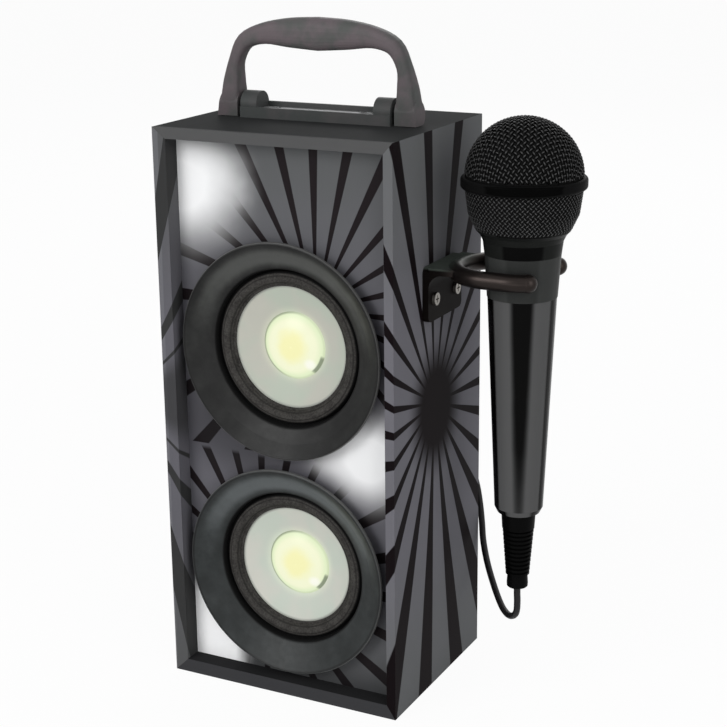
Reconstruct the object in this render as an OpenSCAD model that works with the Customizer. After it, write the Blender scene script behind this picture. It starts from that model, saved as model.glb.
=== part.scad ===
// Portable karaoke tower: a bevelled cabinet with two lit speakers, a folding carry handle,
// and a wired microphone that hangs in a holder on the right side.
// The front is -Y, the right side is +X, up is +Z. The origin is the middle of the underside.

/* [Cabinet] */
// Depth of the cabinet from its front edge to its back
cabinet_depth = 96; // [90:1:120]
// Thickness of the cabinet boards
board = 5.5; // [4.5:0.25:7]
// How far the front edge is bevelled back at its inner side
bevel_depth = 2; // [1:0.25:3]
// Depth of the baffle's face behind the front edge
baffle_recess = 11; // [9:0.5:14]
// Thickness of the baffle
baffle_thickness = 5; // [4:0.25:6]
// Thickness of the back panel
back_thickness = 5; // [4:0.25:6]
// Gap round a board that is let in
board_fit = 0.1; // [0.05:0.05:0.2]
// Side of the square battens behind the back panel
batten = 8; // [6:0.5:9]
// Space between a trim ring and a side board
side_margin = 3.4; // [2:0.2:8]
// Space under the lower trim ring
bottom_margin = 3.9; // [2:0.3:12]
// Space between the two trim rings
trim_gap = 5.3; // [3:0.5:15]
// Space above the upper trim ring
top_margin = 43.4; // [38:1:60]

/* [Speakers] */
// Outer diameter of a trim ring
trim_diameter = 103.2; // [98:0.5:115]
// Diameter of the mouth inside a trim ring
mouth_diameter = 75.2; // [72:0.4:80]
// How far a trim ring's rim stands out from the baffle
trim_height = 7; // [5:0.5:8]
// How far the trim ring draws in from its rim to the baffle
trim_undercut = 4.2; // [3.6:0.2:5]
// Thickness of the trim ring's wall
trim_wall = 1.6; // [1.2:0.1:2]
// Gap between the trim's collar and the hole in the baffle
trim_fit = 0.2; // [0.1:0.05:0.3]
// Radius of the surround's half roll
roll_radius = 3.5; // [2.6:0.1:3.6]
// Thickness of the rubber surround
surround_wall = 0.9; // [0.7:0.1:1.1]
// Width of the surround's glued inner lip
surround_lip = 1.8; // [1:0.1:2]
// Depth of the cone from its edge to the dome's seat
cone_drop = 3.75; // [3:0.25:5]
// Thickness of the cone
cone_wall = 0.9; // [0.7:0.1:1.2]
// Diameter of the lit dome
dome_diameter = 32.2; // [28:0.2:36]
// Height of the lit dome
dome_height = 4; // [3:0.25:5]
// Inner diameter of the voice coil's former
former_diameter = 19.8; // [18:0.2:22]
// Thickness of the former, and of the wire wound on it
coil_wall = 0.5; // [0.4:0.05:0.6]
// Gap on each side of the voice coil in the magnet
coil_gap = 0.6; // [0.5:0.05:0.8]
// Diameter of the magnet
magnet_diameter = 46; // [42:1:52]
// Thickness of the magnet between its plates
magnet_height = 8; // [6:0.5:10]
// Thickness of the plates on both sides of the magnet
plate_height = 3; // [2:0.25:4]
// Width of the basket's flange
flange_width = 7; // [6:0.25:8]
// Thickness of the basket's steel
basket_wall = 1.2; // [1:0.1:1.6]
// Height of the basket from its flange to the magnet
basket_height = 14; // [13:0.5:18]
// Number of windows in a basket
basket_windows = 6; // [4:1:8]

/* [Handle] */
// Height of the handle above the cabinet
handle_height = 46.6; // [42:0.5:52]
// Distance between the inner faces of the handle's feet
handle_inside = 81.6; // [78:0.4:90]
// Lean of a foot's outer face, in degrees
foot_lean = 8.5; // [6:0.5:10]
// Width of a handle foot
foot_width = 10.8; // [9:0.2:12]
// Radius of a foot about its pin
foot_radius = 5.7; // [5.2:0.1:6.4]
// Gap between a foot and the cabinet
foot_gap = 0.3; // [0.2:0.05:0.5]
// Thickness of the grip at its middle
grip_thickness = 15.2; // [12:0.2:17]
// Gap between a foot and the end of the base
knuckle_gap = 1.9; // [1:0.1:2.4]
// Length of a knuckle on the base
knuckle_length = 8.6; // [7:0.2:11]
// Depth of the base from front to back
base_depth = 13; // [12.4:0.2:16]
// Height of the base's front wall
base_front = 5; // [4.4:0.2:6]
// Height of the base's rear wall
base_rear = 6.6; // [5.6:0.2:7.4]
// Thickness of the base's walls
base_wall = 1.6; // [1.2:0.1:2]
// Diameter of a handle pin
pin_diameter = 4; // [3.4:0.2:4.6]
// Radial clearance of a pin in its foot
pin_fit = 0.06; // [0.03:0.01:0.09]
// Thickness of the metal strip in the base
strip_thickness = 1.2; // [0.8:0.1:1.6]
// Length of the slots in the metal strip
slot_length = 7; // [6:0.25:9]

/* [Microphone] */
// Distance of the microphone's axis from the side of the cabinet
mic_offset = 40.6; // [38:0.5:48]
// Distance of the holder's ring below the top of the cabinet
holder_drop = 62.2; // [58:1:80]
// Diameter of the ball grille
grille_diameter = 51; // [48:0.5:54]
// Diameter of the band round the grille
band_diameter = 55.8; // [54.6:0.2:60]
// Height of the band
band_height = 5.2; // [4:0.2:6]
// Height of the lower grille
lower_grille_height = 17.9; // [15:0.3:20]
// Diameter of the lower grille where it meets the neck
grille_foot = 41.6; // [40.4:0.2:43]
// Height of the neck's flare
flare_height = 5.3; // [4:0.25:7]
// Height of the neck below its flare
neck_height = 6.1; // [4:0.25:8]
// Diameter of the neck under its flare
neck_diameter = 35.8; // [35.2:0.2:37]
// Diameter at the seam between neck and collar
seam_diameter = 34.2; // [33.4:0.2:34.8]
// Height of the collar
collar_height = 19.3; // [17:0.5:24]
// Diameter at the collar's lower end
collar_foot = 31.6; // [31.2:0.1:32.6]
// Distance of the ring's middle below the seam
seat_below_seam = 9; // [8:0.25:11]
// Gap between the collar and the ring
seat_fit = 0.3; // [0.2:0.05:0.4]
// Step from the collar to the body
body_step = 0.25; // [0.15:0.05:0.4]
// Length of the tapered body
body_length = 102.6; // [90:1:112]
// Diameter of the body at its lower end
body_foot = 22.4; // [20:0.2:25]
// Chamfer at the body's lower end
body_chamfer = 1.3; // [0.8:0.1:1.8]
// Wall of the microphone's shells
mic_wall = 1.8; // [1.4:0.1:2.2]
// Thickness of the grille's mesh
mesh_wall = 1; // [0.8:0.1:1.2]
// Thickness of the foam behind the mesh
foam_wall = 2; // [1.5:0.25:3]
// Diameter of the capsule
capsule_diameter = 22; // [18:0.5:26]
// Height of the capsule
capsule_height = 12; // [9:0.5:15]
// Length of the strain relief
relief_length = 38; // [37:0.5:38]
// Diameter of the strain relief at its top
relief_top = 16; // [14:0.2:17.6]
// Diameter of the strain relief at its end
relief_end = 9.8; // [8.6:0.2:11]
// Number of ribs on the strain relief
relief_ribs = 11; // [7:1:12]

/* [Microphone holder] */
// Width of the holder's plate
holder_width = 36.6; // [34:0.4:40]
// Height of the holder's plate
holder_height = 25.5; // [23:0.5:30]
// Thickness of the holder's plate and arm
holder_plate = 3; // [2.4:0.2:3.6]
// Radius of the ring's round section
ring_section = 4; // [3.4:0.1:4.4]
// Length of the straight stretch in the ring's arms
ring_straight = 9.3; // [6:0.3:11]
// Angle that each arm wraps round the microphone past its widest place
ring_wrap = 28; // [20:1:34]
// Distance between the holder's screws
holder_screw_spacing = 23.2; // [20:0.4:26]
// Height of the holder's screws above the plate's lower edge
holder_screw_height = 10.1; // [8:0.25:12]

/* [Control panel] */
// Gap between the panel and the side boards
panel_side_gap = 3; // [2:0.25:4]
// Height of the panel on the back
panel_height = 72; // [70:1:80]
// Height of the panel's middle above the floor
panel_middle = 96; // [90:1:104]
// Thickness of the panel
panel_thickness = 2.2; // [1.8:0.1:2.8]
// Width of the rim round the panel's face
panel_rim = 1; // [0.8:0.1:1.2]
// Width of the panel's flange outside the cut-out
panel_flange = 7; // [6.4:0.2:7.6]
// Distance from the panel's inner face to the circuit board
board_standoff = 12; // [11.6:0.2:14]
// Diameter of a button
button_diameter = 9; // [7:0.25:10.5]
// How far a button stands out from the panel
button_proud = 1.6; // [1.2:0.1:2.2]
// Travel of a button
button_travel = 1; // [0.6:0.1:1.2]
// Gap round a button
button_gap = 0.3; // [0.2:0.05:0.4]
// Travel of the power switch
switch_travel = 3; // [2:0.25:4]
// Radius of the 3.5 mm jack bores
jack_radius = 1.8; // [1.78:0.01:1.85]
// Depth of a jack bore
jack_depth = 14; // [13:0.25:15]
// Radius of the plug's shaft
plug_radius = 1.72; // [1.68:0.01:1.74]
// Radius of the plug's barrel
barrel_radius = 4.6; // [3.8:0.1:4.7]
// Length of the plug's barrel
barrel_length = 17; // [15:0.5:18]
// Length of the plug's strain relief
plug_relief = 9; // [9:0.5:9.5]
// Diameter of a battery cell
cell_diameter = 18.4; // [14:0.2:20]
// Length of a battery cell
cell_length = 65; // [50:1:76]

/* [Cord] */
// Diameter of the microphone's cord
cord_diameter = 3.2; // [3:0.05:3.2]
// Turns of the stored coil
coil_turns = 13.5; // [13.5:1:15.5]
// Mean radius of the stored coil
coil_radius = 17.5; // [17.5:0.25:18.5]
// Distance between the turns of the stored coil
turn_pitch = 3.7; // [3.65:0.05:3.8]

/* [Hidden] */
$fn = 64;

// Colours
baffle_grey = "#56565a";
board_grey = "#4c4c4e";
trim_black = "#2a2a2b";
rubber_black = "#1d1d1d";
cone_pale = "#cdcfc8";
dome_lit = "#f4f8c4";
steel = "#9a9ca0";
magnet_black = "#3a3a3c";
copper = "#b5703a";
board_green = "#1f5a3a";
handle_grey = "#565153";
plug_silver = "#b9bbc0";
gloss_black = "#141414";
mesh_black = "#2b2b2b";

// Cabinet, worked out
trim_r = trim_diameter / 2;
cabinet_width = trim_diameter + 2 * side_margin + 2 * board;
cabinet_height = 2 * trim_diameter + trim_gap + bottom_margin + top_margin + 2 * board;
half_w = cabinet_width / 2;
half_d = cabinet_depth / 2;
inner_w = half_w - board;
lower_z = board + bottom_margin + trim_r;
upper_z = lower_z + trim_diameter + trim_gap;
baffle_back = baffle_recess + baffle_thickness;
back_inner = half_d - back_thickness;
mid_z = cabinet_height / 2;

// Speakers, worked out. Depths are measured back from the cabinet's front edge
mouth_r = mouth_diameter / 2;
hole_r = mouth_r + trim_wall + trim_fit;
rim_depth = baffle_recess - trim_height;
surround_front = baffle_back - surround_wall;
roll_out = mouth_r - 0.6;
roll_mid = roll_out - roll_radius;
cone_r = roll_out - 2 * roll_radius + surround_wall;
disc_r = cone_r - surround_lip;
dome_r = dome_diameter / 2;
seat_depth = baffle_back + cone_drop;
former_r = former_diameter / 2;
former_out = former_r + coil_wall;
winding_out = former_out + coil_wall;
pole_r = former_r - coil_gap;
gap_out = winding_out + coil_gap;
magnet_r = magnet_diameter / 2;
flange_back = baffle_back + basket_wall;
basket_floor = flange_back + basket_height;
magnet_front = basket_floor + basket_wall;
magnet_back = magnet_front + 2 * plate_height + magnet_height;
flange_r = hole_r + flange_width;
flange_screw_r = hole_r + flange_width / 2;
speaker_screw_r = 1.4;

// Handle, worked out
axis_z = cabinet_height + foot_radius + foot_gap;
foot_in = handle_inside / 2;
foot_out = foot_in + foot_width;
base_half = foot_in - knuckle_gap;
knuckle_in = base_half - knuckle_length;
knuckle_r = axis_z - cabinet_height;
pin_r = pin_diameter / 2;
grip_z = cabinet_height + handle_height - grip_thickness / 2;
strip_z = cabinet_height + base_front - 0.6;
slot_w = 5;
slot_x = knuckle_in - 2.6 - slot_length / 2;

// Microphone, worked out. The ring's middle is the seat
mic_x = half_w + mic_offset;
seat_z = cabinet_height - holder_drop;
seam_z = seat_z + seat_below_seam;
flare_z = seam_z + neck_height;
ball_z = flare_z + flare_height;
band_z = ball_z + lower_grille_height;
dome_z = band_z + band_height;
collar_z = seam_z - collar_height;
foot_z = collar_z - body_length;
relief_z = foot_z - relief_length;
grille_r = grille_diameter / 2;
collar_top_r = seam_diameter / 2;
collar_foot_r = collar_foot / 2;
seat_slope = (collar_top_r - collar_foot_r) / collar_height;
seat_r = collar_top_r - seat_slope * seat_below_seam;
body_top_r = collar_foot_r - body_step;
body_foot_r = body_foot / 2;

// Holder, worked out
arm_r = seat_r + seat_fit + ring_section;
bend_x = mic_x - ring_straight;
plate_top = seat_z + 2.2;
plate_foot = plate_top - holder_height;
tongue_cove = 6.5;
bead_step = 0.2;
screw_head_r = 2.9;
holder_screw_r = 1.5;

// Control panel, worked out
panel_face = half_d + panel_thickness;
pcb_face = half_d - board_standoff;
pcb_thickness = 1.6;
panel_width = 2 * (inner_w - panel_side_gap);
cut_w = panel_width - 2 * panel_flange;
cut_h = panel_height - 2 * panel_flange;
button_r = button_diameter / 2;
button_z = panel_middle + 18;
button_x = [-30, -13, 4, 21];
socket_z = panel_middle - 4;
switch_z = panel_middle - 21;
mic_jack_x = panel_width / 2 - 14;
aux_jack_x = 10;
usb_x = 20 - panel_width / 2;
card_x = -11;
switch_x = -30;
port_x = -8;
light_x = 10;
jack_nose = 0.7;
jack_face = panel_face + jack_nose;
plug_z = socket_z;
plug_end = jack_face + barrel_length + plug_relief;
cell_r = cell_diameter / 2;
cradle_wall = 1.5;

// Cord, worked out
cord_r = cord_diameter / 2;
tie_wall = 0.8;
coil_x = -4;
coil_y = 84;
coil_layers = 4;
coil_base = tie_wall + 0.1 + cord_r;
layer_turns = coil_turns / coil_layers;
coil_outer = coil_radius + layer_turns * turn_pitch / 2;
coil_inner = coil_radius - layer_turns * turn_pitch / 2;
coil_steps = 24;
coil_first = coil_y - coil_outer;
coil_last = coil_y + coil_outer;
coil_top = coil_base + (coil_layers - 1) * turn_pitch;

// Route from the microphone, over the plug, to the coil's lowest turn
front_route = [
  [101.1, 0, 56.5], [101.1, 0, 53], [101.1, 0.4, 48.5], [100.4, 1.6, 43.2], [98.6, 3.2, 39.8],
  [95.6, 5.2, 38], [92.4, 7.8, 38], [89, 11, 39.2], [84.6, 16, 41.8], [79.4, 22.4, 45.6],
  [74.2, 29.2, 49.8], [69.6, 36, 53.8], [65.6, 42.4, 58.4], [62.4, 48.4, 64.2], [59.4, 53, 71.6],
  [56, 56.8, 80], [mic_jack_x + 13.6, 59.6, 88.4], [mic_jack_x + 7.4, 61.4, 95.2], [mic_jack_x, 62.2, 98.3],
  [mic_jack_x - 7.2, 62.2, 94.8], [mic_jack_x - 11.2, 61.6, 86.6], [mic_jack_x - 12.6, 61, 76],
  [24.8, 60.6, 64], [24.4, 60.3, 51], [24, 60.1, 38],
  [23.2, 60, 26], [21, 60, 15.6], [16.4, 60, 7.4], [10, 60, 3.4], [3, coil_first, 2.5],
  [-0.6, coil_first, 2.5]
];

// Route from the coil's highest turn up to the plug
back_route = [
  [-0.6, coil_last, coil_top], [3, coil_last, coil_top], [9, coil_last, 12.4], [15.4, 107.4, 9.4],
  [21.4, 106, 5.4], [27.4, 103.4, 2.9], [32.2, 99.6, 3.4], [35.2, 95.8, 9], [36.8, 93.6, 18],
  [37.6, 92.4, 30], [mic_jack_x, 91.8, 43], [mic_jack_x, 91.4, 56], [mic_jack_x, 90.8, 68],
  [mic_jack_x, 89.2, 78], [mic_jack_x, 86.2, 86.2], [mic_jack_x, 82.2, 90.8], [mic_jack_x, 79.4, 92],
  [mic_jack_x, 76.9, 92]
];

// Small helpers

function unit(v) = v / norm(v);

function mix(a, b, t) = a * (1 - t) + b * t;

// A smooth curve through the points, with this many steps between two of them
function curve(p, steps) = concat(
  [for (i = [0:len(p) - 2], s = [0:steps - 1])
    let (a = p[max(i - 1, 0)], b = p[i], c = p[i + 1], d = p[min(i + 2, len(p) - 1)], t = s / steps)
    0.5 * (2 * b + (c - a) * t + (2 * a - 5 * b + 4 * c - d) * t * t + (3 * b - a - 3 * c + d) * t * t * t)],
  [p[len(p) - 1]]
);

// The direction of a line of points at each of them, straight off the end ones
function directions(p) = [for (i = [0:len(p) - 1])
  unit(i == 0 ? p[1] - p[0] : i == len(p) - 1 ? p[i] - p[i - 1] : p[i + 1] - p[i - 1])];

// A normal carried along the line without twist
function normals(t, n0) = [for (i = 0, n = unit(n0 - (n0 * t[0]) * t[0]); i < len(t);
  i = i + 1, n = i < len(t) ? unit(n - (n * t[i]) * t[i]) : n) n];

// Triangles that join rings of equal size, with both ends closed
module skin(rings) {
  count = len(rings);
  sides = len(rings[0]);
  points = [for (ring = rings, p = ring) p];
  walls = [for (i = [0:count - 2], j = [0:sides - 1])
    let (a = i * sides + j, b = i * sides + (j + 1) % sides, c = a + sides, d = b + sides)
    each [[a, d, b], [a, c, d]]];
  first = [for (j = [1:sides - 2]) [0, j, j + 1]];
  last = [for (j = [1:sides - 2], o = [(count - 1) * sides]) [o, o + j + 1, o + j]];
  polyhedron(points = points, faces = concat(walls, first, last), convexity = 10);
}

// A round tube along a line of points
module tube(p, radius, sides, n0) {
  t = directions(p);
  n = normals(t, n0);
  skin([for (i = [0:len(p) - 1])
    let (side = cross(t[i], n[i]))
    [for (j = [0:sides - 1])
      let (angle = 360 * (j + 0.5) / sides)
      p[i] + radius * (cos(angle) * n[i] + sin(angle) * side)]]);
}

// Places its children so that their +Z points to the back of the cabinet
module to_back(x, y, z) {
  translate([x, y, z]) rotate([-90, 0, 0]) children();
}

// A speaker's own space: +Z runs back from the cabinet's front edge
module speaker_at(z) {
  to_back(0, -half_d, z) children();
}

module both_speakers() {
  for (z = [lower_z, upper_z]) speaker_at(z) children();
}

// A plate with round corners, its middle at the origin
module round_plate(w, h, r, t) {
  linear_extrude(t) {
    square([w - 2 * r, h], center = true);
    square([w, h - 2 * r], center = true);
    for (x = [-1, 1], y = [-1, 1]) translate([x * (w / 2 - r), y * (h / 2 - r)]) circle(r);
  }
}

// A slot's outline along X, its middle at the origin
module slot_shape(length, width) {
  square([length - width, width], center = true);
  for (x = [-1, 1]) translate([x * (length - width) / 2, 0]) circle(d = width);
}

// A pan-head screw, its head above the origin and its shank below
module screw(head_r, head_h, shank_r, shank_l) {
  difference() {
    union() {
      cylinder(r = head_r, h = head_h);
      translate([0, 0, -shank_l]) cylinder(r = shank_r, h = shank_l + 0.1);
    }
    for (a = [0, 90]) rotate(a) translate([0, 0, head_h]) cube([head_r * 1.2, 0.6, head_h], center = true);
  }
}

// Cabinet

// A board of the wrap, drawn from above as a mitred strip
module side_board(flip) {
  rotate([90, 0, 0]) linear_extrude(cabinet_depth, center = true)
    polygon([[flip * half_w, 0], [flip * inner_w, board], [flip * inner_w, cabinet_height - board],
      [flip * half_w, cabinet_height]]);
}

module level_board(z, inner_z) {
  rotate([90, 0, 0]) linear_extrude(cabinet_depth, center = true)
    polygon([[-half_w, z], [half_w, z], [inner_w, inner_z], [-inner_w, inner_z]]);
}

module left_panel() {
  color(board_grey) difference() {
    side_board(-1);
    front_bevel();
  }
}

module right_panel() {
  color(board_grey) difference() {
    side_board(1);
    front_bevel();
    for (y = [-1, 1]) translate([half_w, y * holder_screw_spacing / 2, plate_foot + holder_screw_height])
      rotate([0, 90, 0]) cylinder(r = holder_screw_r, h = 2 * board, center = true);
  }
}

module top_panel() {
  color(board_grey) difference() {
    level_board(cabinet_height, cabinet_height - board);
    front_bevel();
    for (x = [-1, 1]) translate([x * slot_x, 0, cabinet_height]) cylinder(r = 1.3, h = 2 * board + 2, center = true);
  }
}

module bottom_panel() {
  color(board_grey) difference() {
    level_board(0, board);
    front_bevel();
  }
}

// The bevelled frame round the front: each board's edge slopes in by the bevel's depth
module front_bevel() {
  slope = bevel_depth / board;
  front = -half_d;
  run = board + 1;
  back = front + slope * run;
  intersection() {
    translate([0, 0, -1]) linear_extrude(cabinet_height + 2)
      polygon([[-half_w - 1, front - 1], [half_w + 1, front - 1], [half_w + 1, front - slope],
        [half_w - run, back], [-half_w + run, back], [-half_w - 1, front - slope]]);
    rotate([90, 0, 90]) linear_extrude(cabinet_width + 2, center = true)
      polygon([[front - 1, -1], [front - slope, -1], [back, run], [back, cabinet_height - run],
        [front - slope, cabinet_height + 1], [front - 1, cabinet_height + 1]]);
  }
}

module front_baffle() {
  w = 2 * inner_w - 2 * board_fit;
  h = cabinet_height - 2 * board - 2 * board_fit;
  color(baffle_grey) difference() {
    translate([-w / 2, baffle_recess - half_d, mid_z - h / 2]) cube([w, baffle_thickness, h]);
    both_speakers() cylinder(r = hole_r, h = 2 * baffle_back);
    both_speakers() flange_screws() translate([0, 0, baffle_back - 3.5]) cylinder(r = speaker_screw_r, h = 9);
  }
}

module back_panel() {
  w = 2 * inner_w - 2 * board_fit;
  h = cabinet_height - 2 * board - 2 * board_fit;
  color(board_grey) difference() {
    translate([-w / 2, back_inner, mid_z - h / 2]) cube([w, back_thickness, h]);
    translate([-cut_w / 2, back_inner - 1, panel_middle - cut_h / 2]) cube([cut_w, back_thickness + 2, cut_h]);
    back_screw_places() cylinder(r = 1.4, h = 30, center = true);
    panel_screw_places() cylinder(r = 1.1, h = 30, center = true);
  }
}

// Two upright battens that the back panel is screwed to
module back_battens() {
  h = cabinet_height - 2 * board;
  color("tan") difference() {
    for (x = [-inner_w, inner_w - batten]) translate([x, back_inner - batten, board]) cube([batten, batten, h]);
    back_screw_places() cylinder(r = 1.4, h = 30, center = true);
  }
}

module back_screw_places() {
  low = board + 9;
  middle = panel_middle + panel_height / 2 + 14;
  for (x = [-1, 1], z = [low, middle, cabinet_height - low])
    to_back(x * (inner_w - batten / 2), half_d, z) children();
}

module back_panel_screws() {
  color(magnet_black) back_screw_places() screw(2.7, 1.3, 1.4, back_thickness + batten - 2);
}

// Speakers

// The trim ring: a shallow dish whose rim stands proud and whose collar drops into the baffle
module trim(z) {
  rim = trim_r - 1.4;
  throat = mouth_r + 1.2;
  throat_depth = baffle_recess - 0.2;
  color(trim_black) speaker_at(z) rotate_extrude()
    polygon([[trim_r - trim_undercut, baffle_recess], [trim_r, rim_depth + 1.2], [trim_r - 0.3, rim_depth + 0.3],
      [trim_r - 1, rim_depth], [rim, rim_depth + 0.2], [mix(rim, throat, 0.5), mix(rim_depth, throat_depth, 0.56)],
      [throat, throat_depth], [mouth_r + 0.3, baffle_recess + 0.2], [mouth_r, baffle_recess + 0.9],
      [mouth_r, surround_front], [mouth_r + trim_wall, surround_front], [mouth_r + trim_wall, baffle_recess],
      [throat + 3.4, baffle_recess],
      [mix(rim, throat, 0.5) + 0.4, mix(rim_depth, throat_depth, 0.56) + trim_wall],
      [trim_r - trim_undercut - trim_wall, baffle_recess]]);
}

// The rubber surround: a half roll between two flat lips
module surround(z) {
  color(rubber_black) speaker_at(z) rotate_extrude() {
    intersection() {
      difference() {
        translate([roll_mid, baffle_back]) circle(roll_radius);
        translate([roll_mid, baffle_back]) circle(roll_radius - surround_wall);
      }
      translate([roll_mid - roll_radius, baffle_back - roll_radius]) square([2 * roll_radius, roll_radius]);
    }
    translate([roll_mid + roll_radius - surround_wall, surround_front])
      square([hole_r - trim_fit - roll_mid - roll_radius + surround_wall, surround_wall]);
    translate([disc_r, surround_front]) square([surround_lip, surround_wall]);
  }
}

// The cone: a pale annulus that falls to the dome's seat and on to the voice coil
module cone(z) {
  hub_depth = seat_depth + 2.4;
  color(cone_pale) speaker_at(z) rotate_extrude()
    polygon([[cone_r, baffle_back], [disc_r - 0.6, baffle_back], [dome_r + 0.2, seat_depth], [dome_r - 1.8, seat_depth],
      [former_out, hub_depth], [former_out, hub_depth + cone_wall], [dome_r - 1.2, seat_depth + cone_wall],
      [dome_r + 0.5, seat_depth + cone_wall], [disc_r - 0.3, baffle_back + cone_wall], [cone_r, baffle_back + cone_wall]]);
}

// The lit dome: a clear cap over the lamps
module dome(z) {
  cap_r = (dome_r * dome_r + dome_height * dome_height) / (2 * dome_height);
  color(dome_lit) speaker_at(z) translate([0, 0, seat_depth]) rotate_extrude() intersection() {
    difference() {
      translate([0, cap_r - dome_height]) circle(cap_r);
      translate([0, cap_r - dome_height]) circle(cap_r - 1);
    }
    translate([0, -dome_height]) square([dome_r, dome_height]);
  }
}

module voice_coil(z) {
  former_end = magnet_front + plate_height + 2;
  color(copper) speaker_at(z) rotate_extrude() {
    translate([former_r, seat_depth + 2]) square([coil_wall, former_end - seat_depth - 2]);
    translate([former_out, magnet_front - 1]) square([coil_wall, plate_height + 2]);
  }
}

module flange_screws() {
  for (a = [45:90:315]) rotate(a) translate([flange_screw_r, 0]) children();
}

// The basket: flange, open cone with windows, and the floor that carries the magnet
module basket(z) {
  floor_r = magnet_r;
  throat_r = hole_r - 1;
  color(steel) speaker_at(z) difference() {
    rotate_extrude() {
      translate([throat_r, baffle_back]) square([flange_r - throat_r, basket_wall]);
      polygon([[throat_r, baffle_back], [throat_r + basket_wall, baffle_back], [throat_r + basket_wall, flange_back],
        [floor_r + basket_wall, magnet_front], [floor_r, magnet_front], [floor_r, basket_floor]]);
      translate([gap_out + 1, basket_floor]) square([floor_r - gap_out - 1, basket_wall]);
    }
    for (a = [0:360 / basket_windows:359]) rotate(a + 180 / basket_windows)
      translate([floor_r - 1, -6, flange_back + 3]) cube([flange_r, 12, basket_height - 5.4]);
    flange_screws() cylinder(r = speaker_screw_r + 0.3, h = 2 * baffle_back);
  }
}

// The magnet between its two plates, with the pole in the middle
module magnet(z) {
  color(magnet_black) speaker_at(z) rotate_extrude() {
    translate([gap_out, magnet_front]) square([magnet_r - 1 - gap_out, plate_height]);
    translate([gap_out + 1.5, magnet_front + plate_height]) square([magnet_r - gap_out - 1.5, magnet_height]);
    translate([0, magnet_back - plate_height]) square([magnet_r - 1, plate_height]);
    translate([0, magnet_front]) square([pole_r, magnet_back - magnet_front]);
  }
}

// Three lamps on a small round board at the end of the pole
module light_board(z) {
  color("white") speaker_at(z) {
    translate([0, 0, magnet_front - 1.2]) cylinder(r = pole_r - 1, h = 1.2);
    for (a = [90:120:330]) rotate(a) translate([pole_r / 2, 0, magnet_front - 2.4])
      cylinder(r1 = 1, r2 = 1.5, h = 1.2);
  }
}

module speaker_screws() {
  color(magnet_black) both_speakers() flange_screws() translate([0, 0, flange_back]) screw(2.6, 1.3, speaker_screw_r,
    basket_wall + 3.4);
}

// Handle

// A place on a foot, whose outer face leans in as it rises
function foot_station(h, inset, depth, power) =
  let (out = foot_out - (h + foot_radius) * tan(foot_lean))
  [(foot_in + out) / 2, h, (out - foot_in) / 2 - inset, depth, power];

// Half of the handle's middle line: place across, height above the pin, half thickness, half depth, roundness
handle_stations = [
  [0, grip_z - axis_z, grip_thickness / 2, foot_radius - 0.2, 0.78],
  [15, grip_z - axis_z + 0.1, grip_thickness / 2 - 0.9, 5.3, 0.78],
  [foot_in - 12.6, grip_z - axis_z - 0.6, 4.9, 4.7, 0.76], [foot_in - 2.4, grip_z - axis_z - 4.4, 3.9, 4.3, 0.72],
  [foot_in + 2.5, grip_z - axis_z - 13, 3.1, 4.3, 0.64],
  foot_station((grip_z - axis_z) * 0.34, 0.05, foot_radius - 0.9, 0.46), foot_station(foot_radius, 0.08, foot_radius - 0.3, 0.36),
  foot_station(1, 0.1, foot_radius - 0.12, 0.3), foot_station(-1.5, 0.1, foot_radius - 0.12, 0.3)
];

// A section of the handle: an oval with flattened sides, square to the middle line
function handle_ring(s, t, sides) =
  let (n = [t[1], -t[0]])
  [for (j = [0:sides - 1])
    let (a = 360 * (j + 0.5) / sides, c = cos(a), d = sin(a))
    let (u = s[2] * sign(c) * pow(abs(c), s[4]), v = s[3] * sign(d) * pow(abs(d), s[4]))
    [s[0] + u * n[0], v, axis_z + s[1] + u * n[1]]];

// The carry handle: a swelling grip, round shoulders, and feet that turn on the pins
module handle() {
  half = curve(handle_stations, 4);
  other = [for (i = [len(half) - 1:-1:1]) [-half[i][0], half[i][1], half[i][2], half[i][3], half[i][4]]];
  line = concat(other, half);
  flat = [for (s = line) [s[0], s[1]]];
  t = directions(flat);
  color(handle_grey) difference() {
    union() {
      skin([for (i = [0:len(line) - 1]) handle_ring(line[i], t[i], 28)]);
      handle_foot();
      mirror([1, 0, 0]) handle_foot();
    }
    for (s = [-1, 1]) translate([s * (foot_in - 1), 0, axis_z]) rotate([0, s * 90, 0])
      cylinder(r = pin_r + pin_fit, h = foot_width - 1);
  }
}

// The right foot round its pin: flat in front and below, round behind, with a leaning outer face
module handle_foot() {
  difference() {
    union() {
      translate([foot_in, 0, axis_z]) rotate([0, 90, 0]) cylinder(r = foot_radius, h = foot_width);
      translate([foot_in, -foot_radius, axis_z - foot_radius]) cube([foot_width, foot_radius, foot_radius + 0.4]);
    }
    translate([foot_out, -foot_radius - 1, axis_z - foot_radius]) rotate([0, -foot_lean, 0])
      cube([6, 2 * foot_radius + 2, 3 * foot_radius]);
  }
}

module handle_pins() {
  color(steel) for (s = [-1, 1]) translate([s * (knuckle_in + 1.5), 0, axis_z]) rotate([0, s * 90, 0])
    cylinder(r = pin_r, h = foot_in + foot_width - 2.6 - knuckle_in - 1.5);
}

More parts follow.
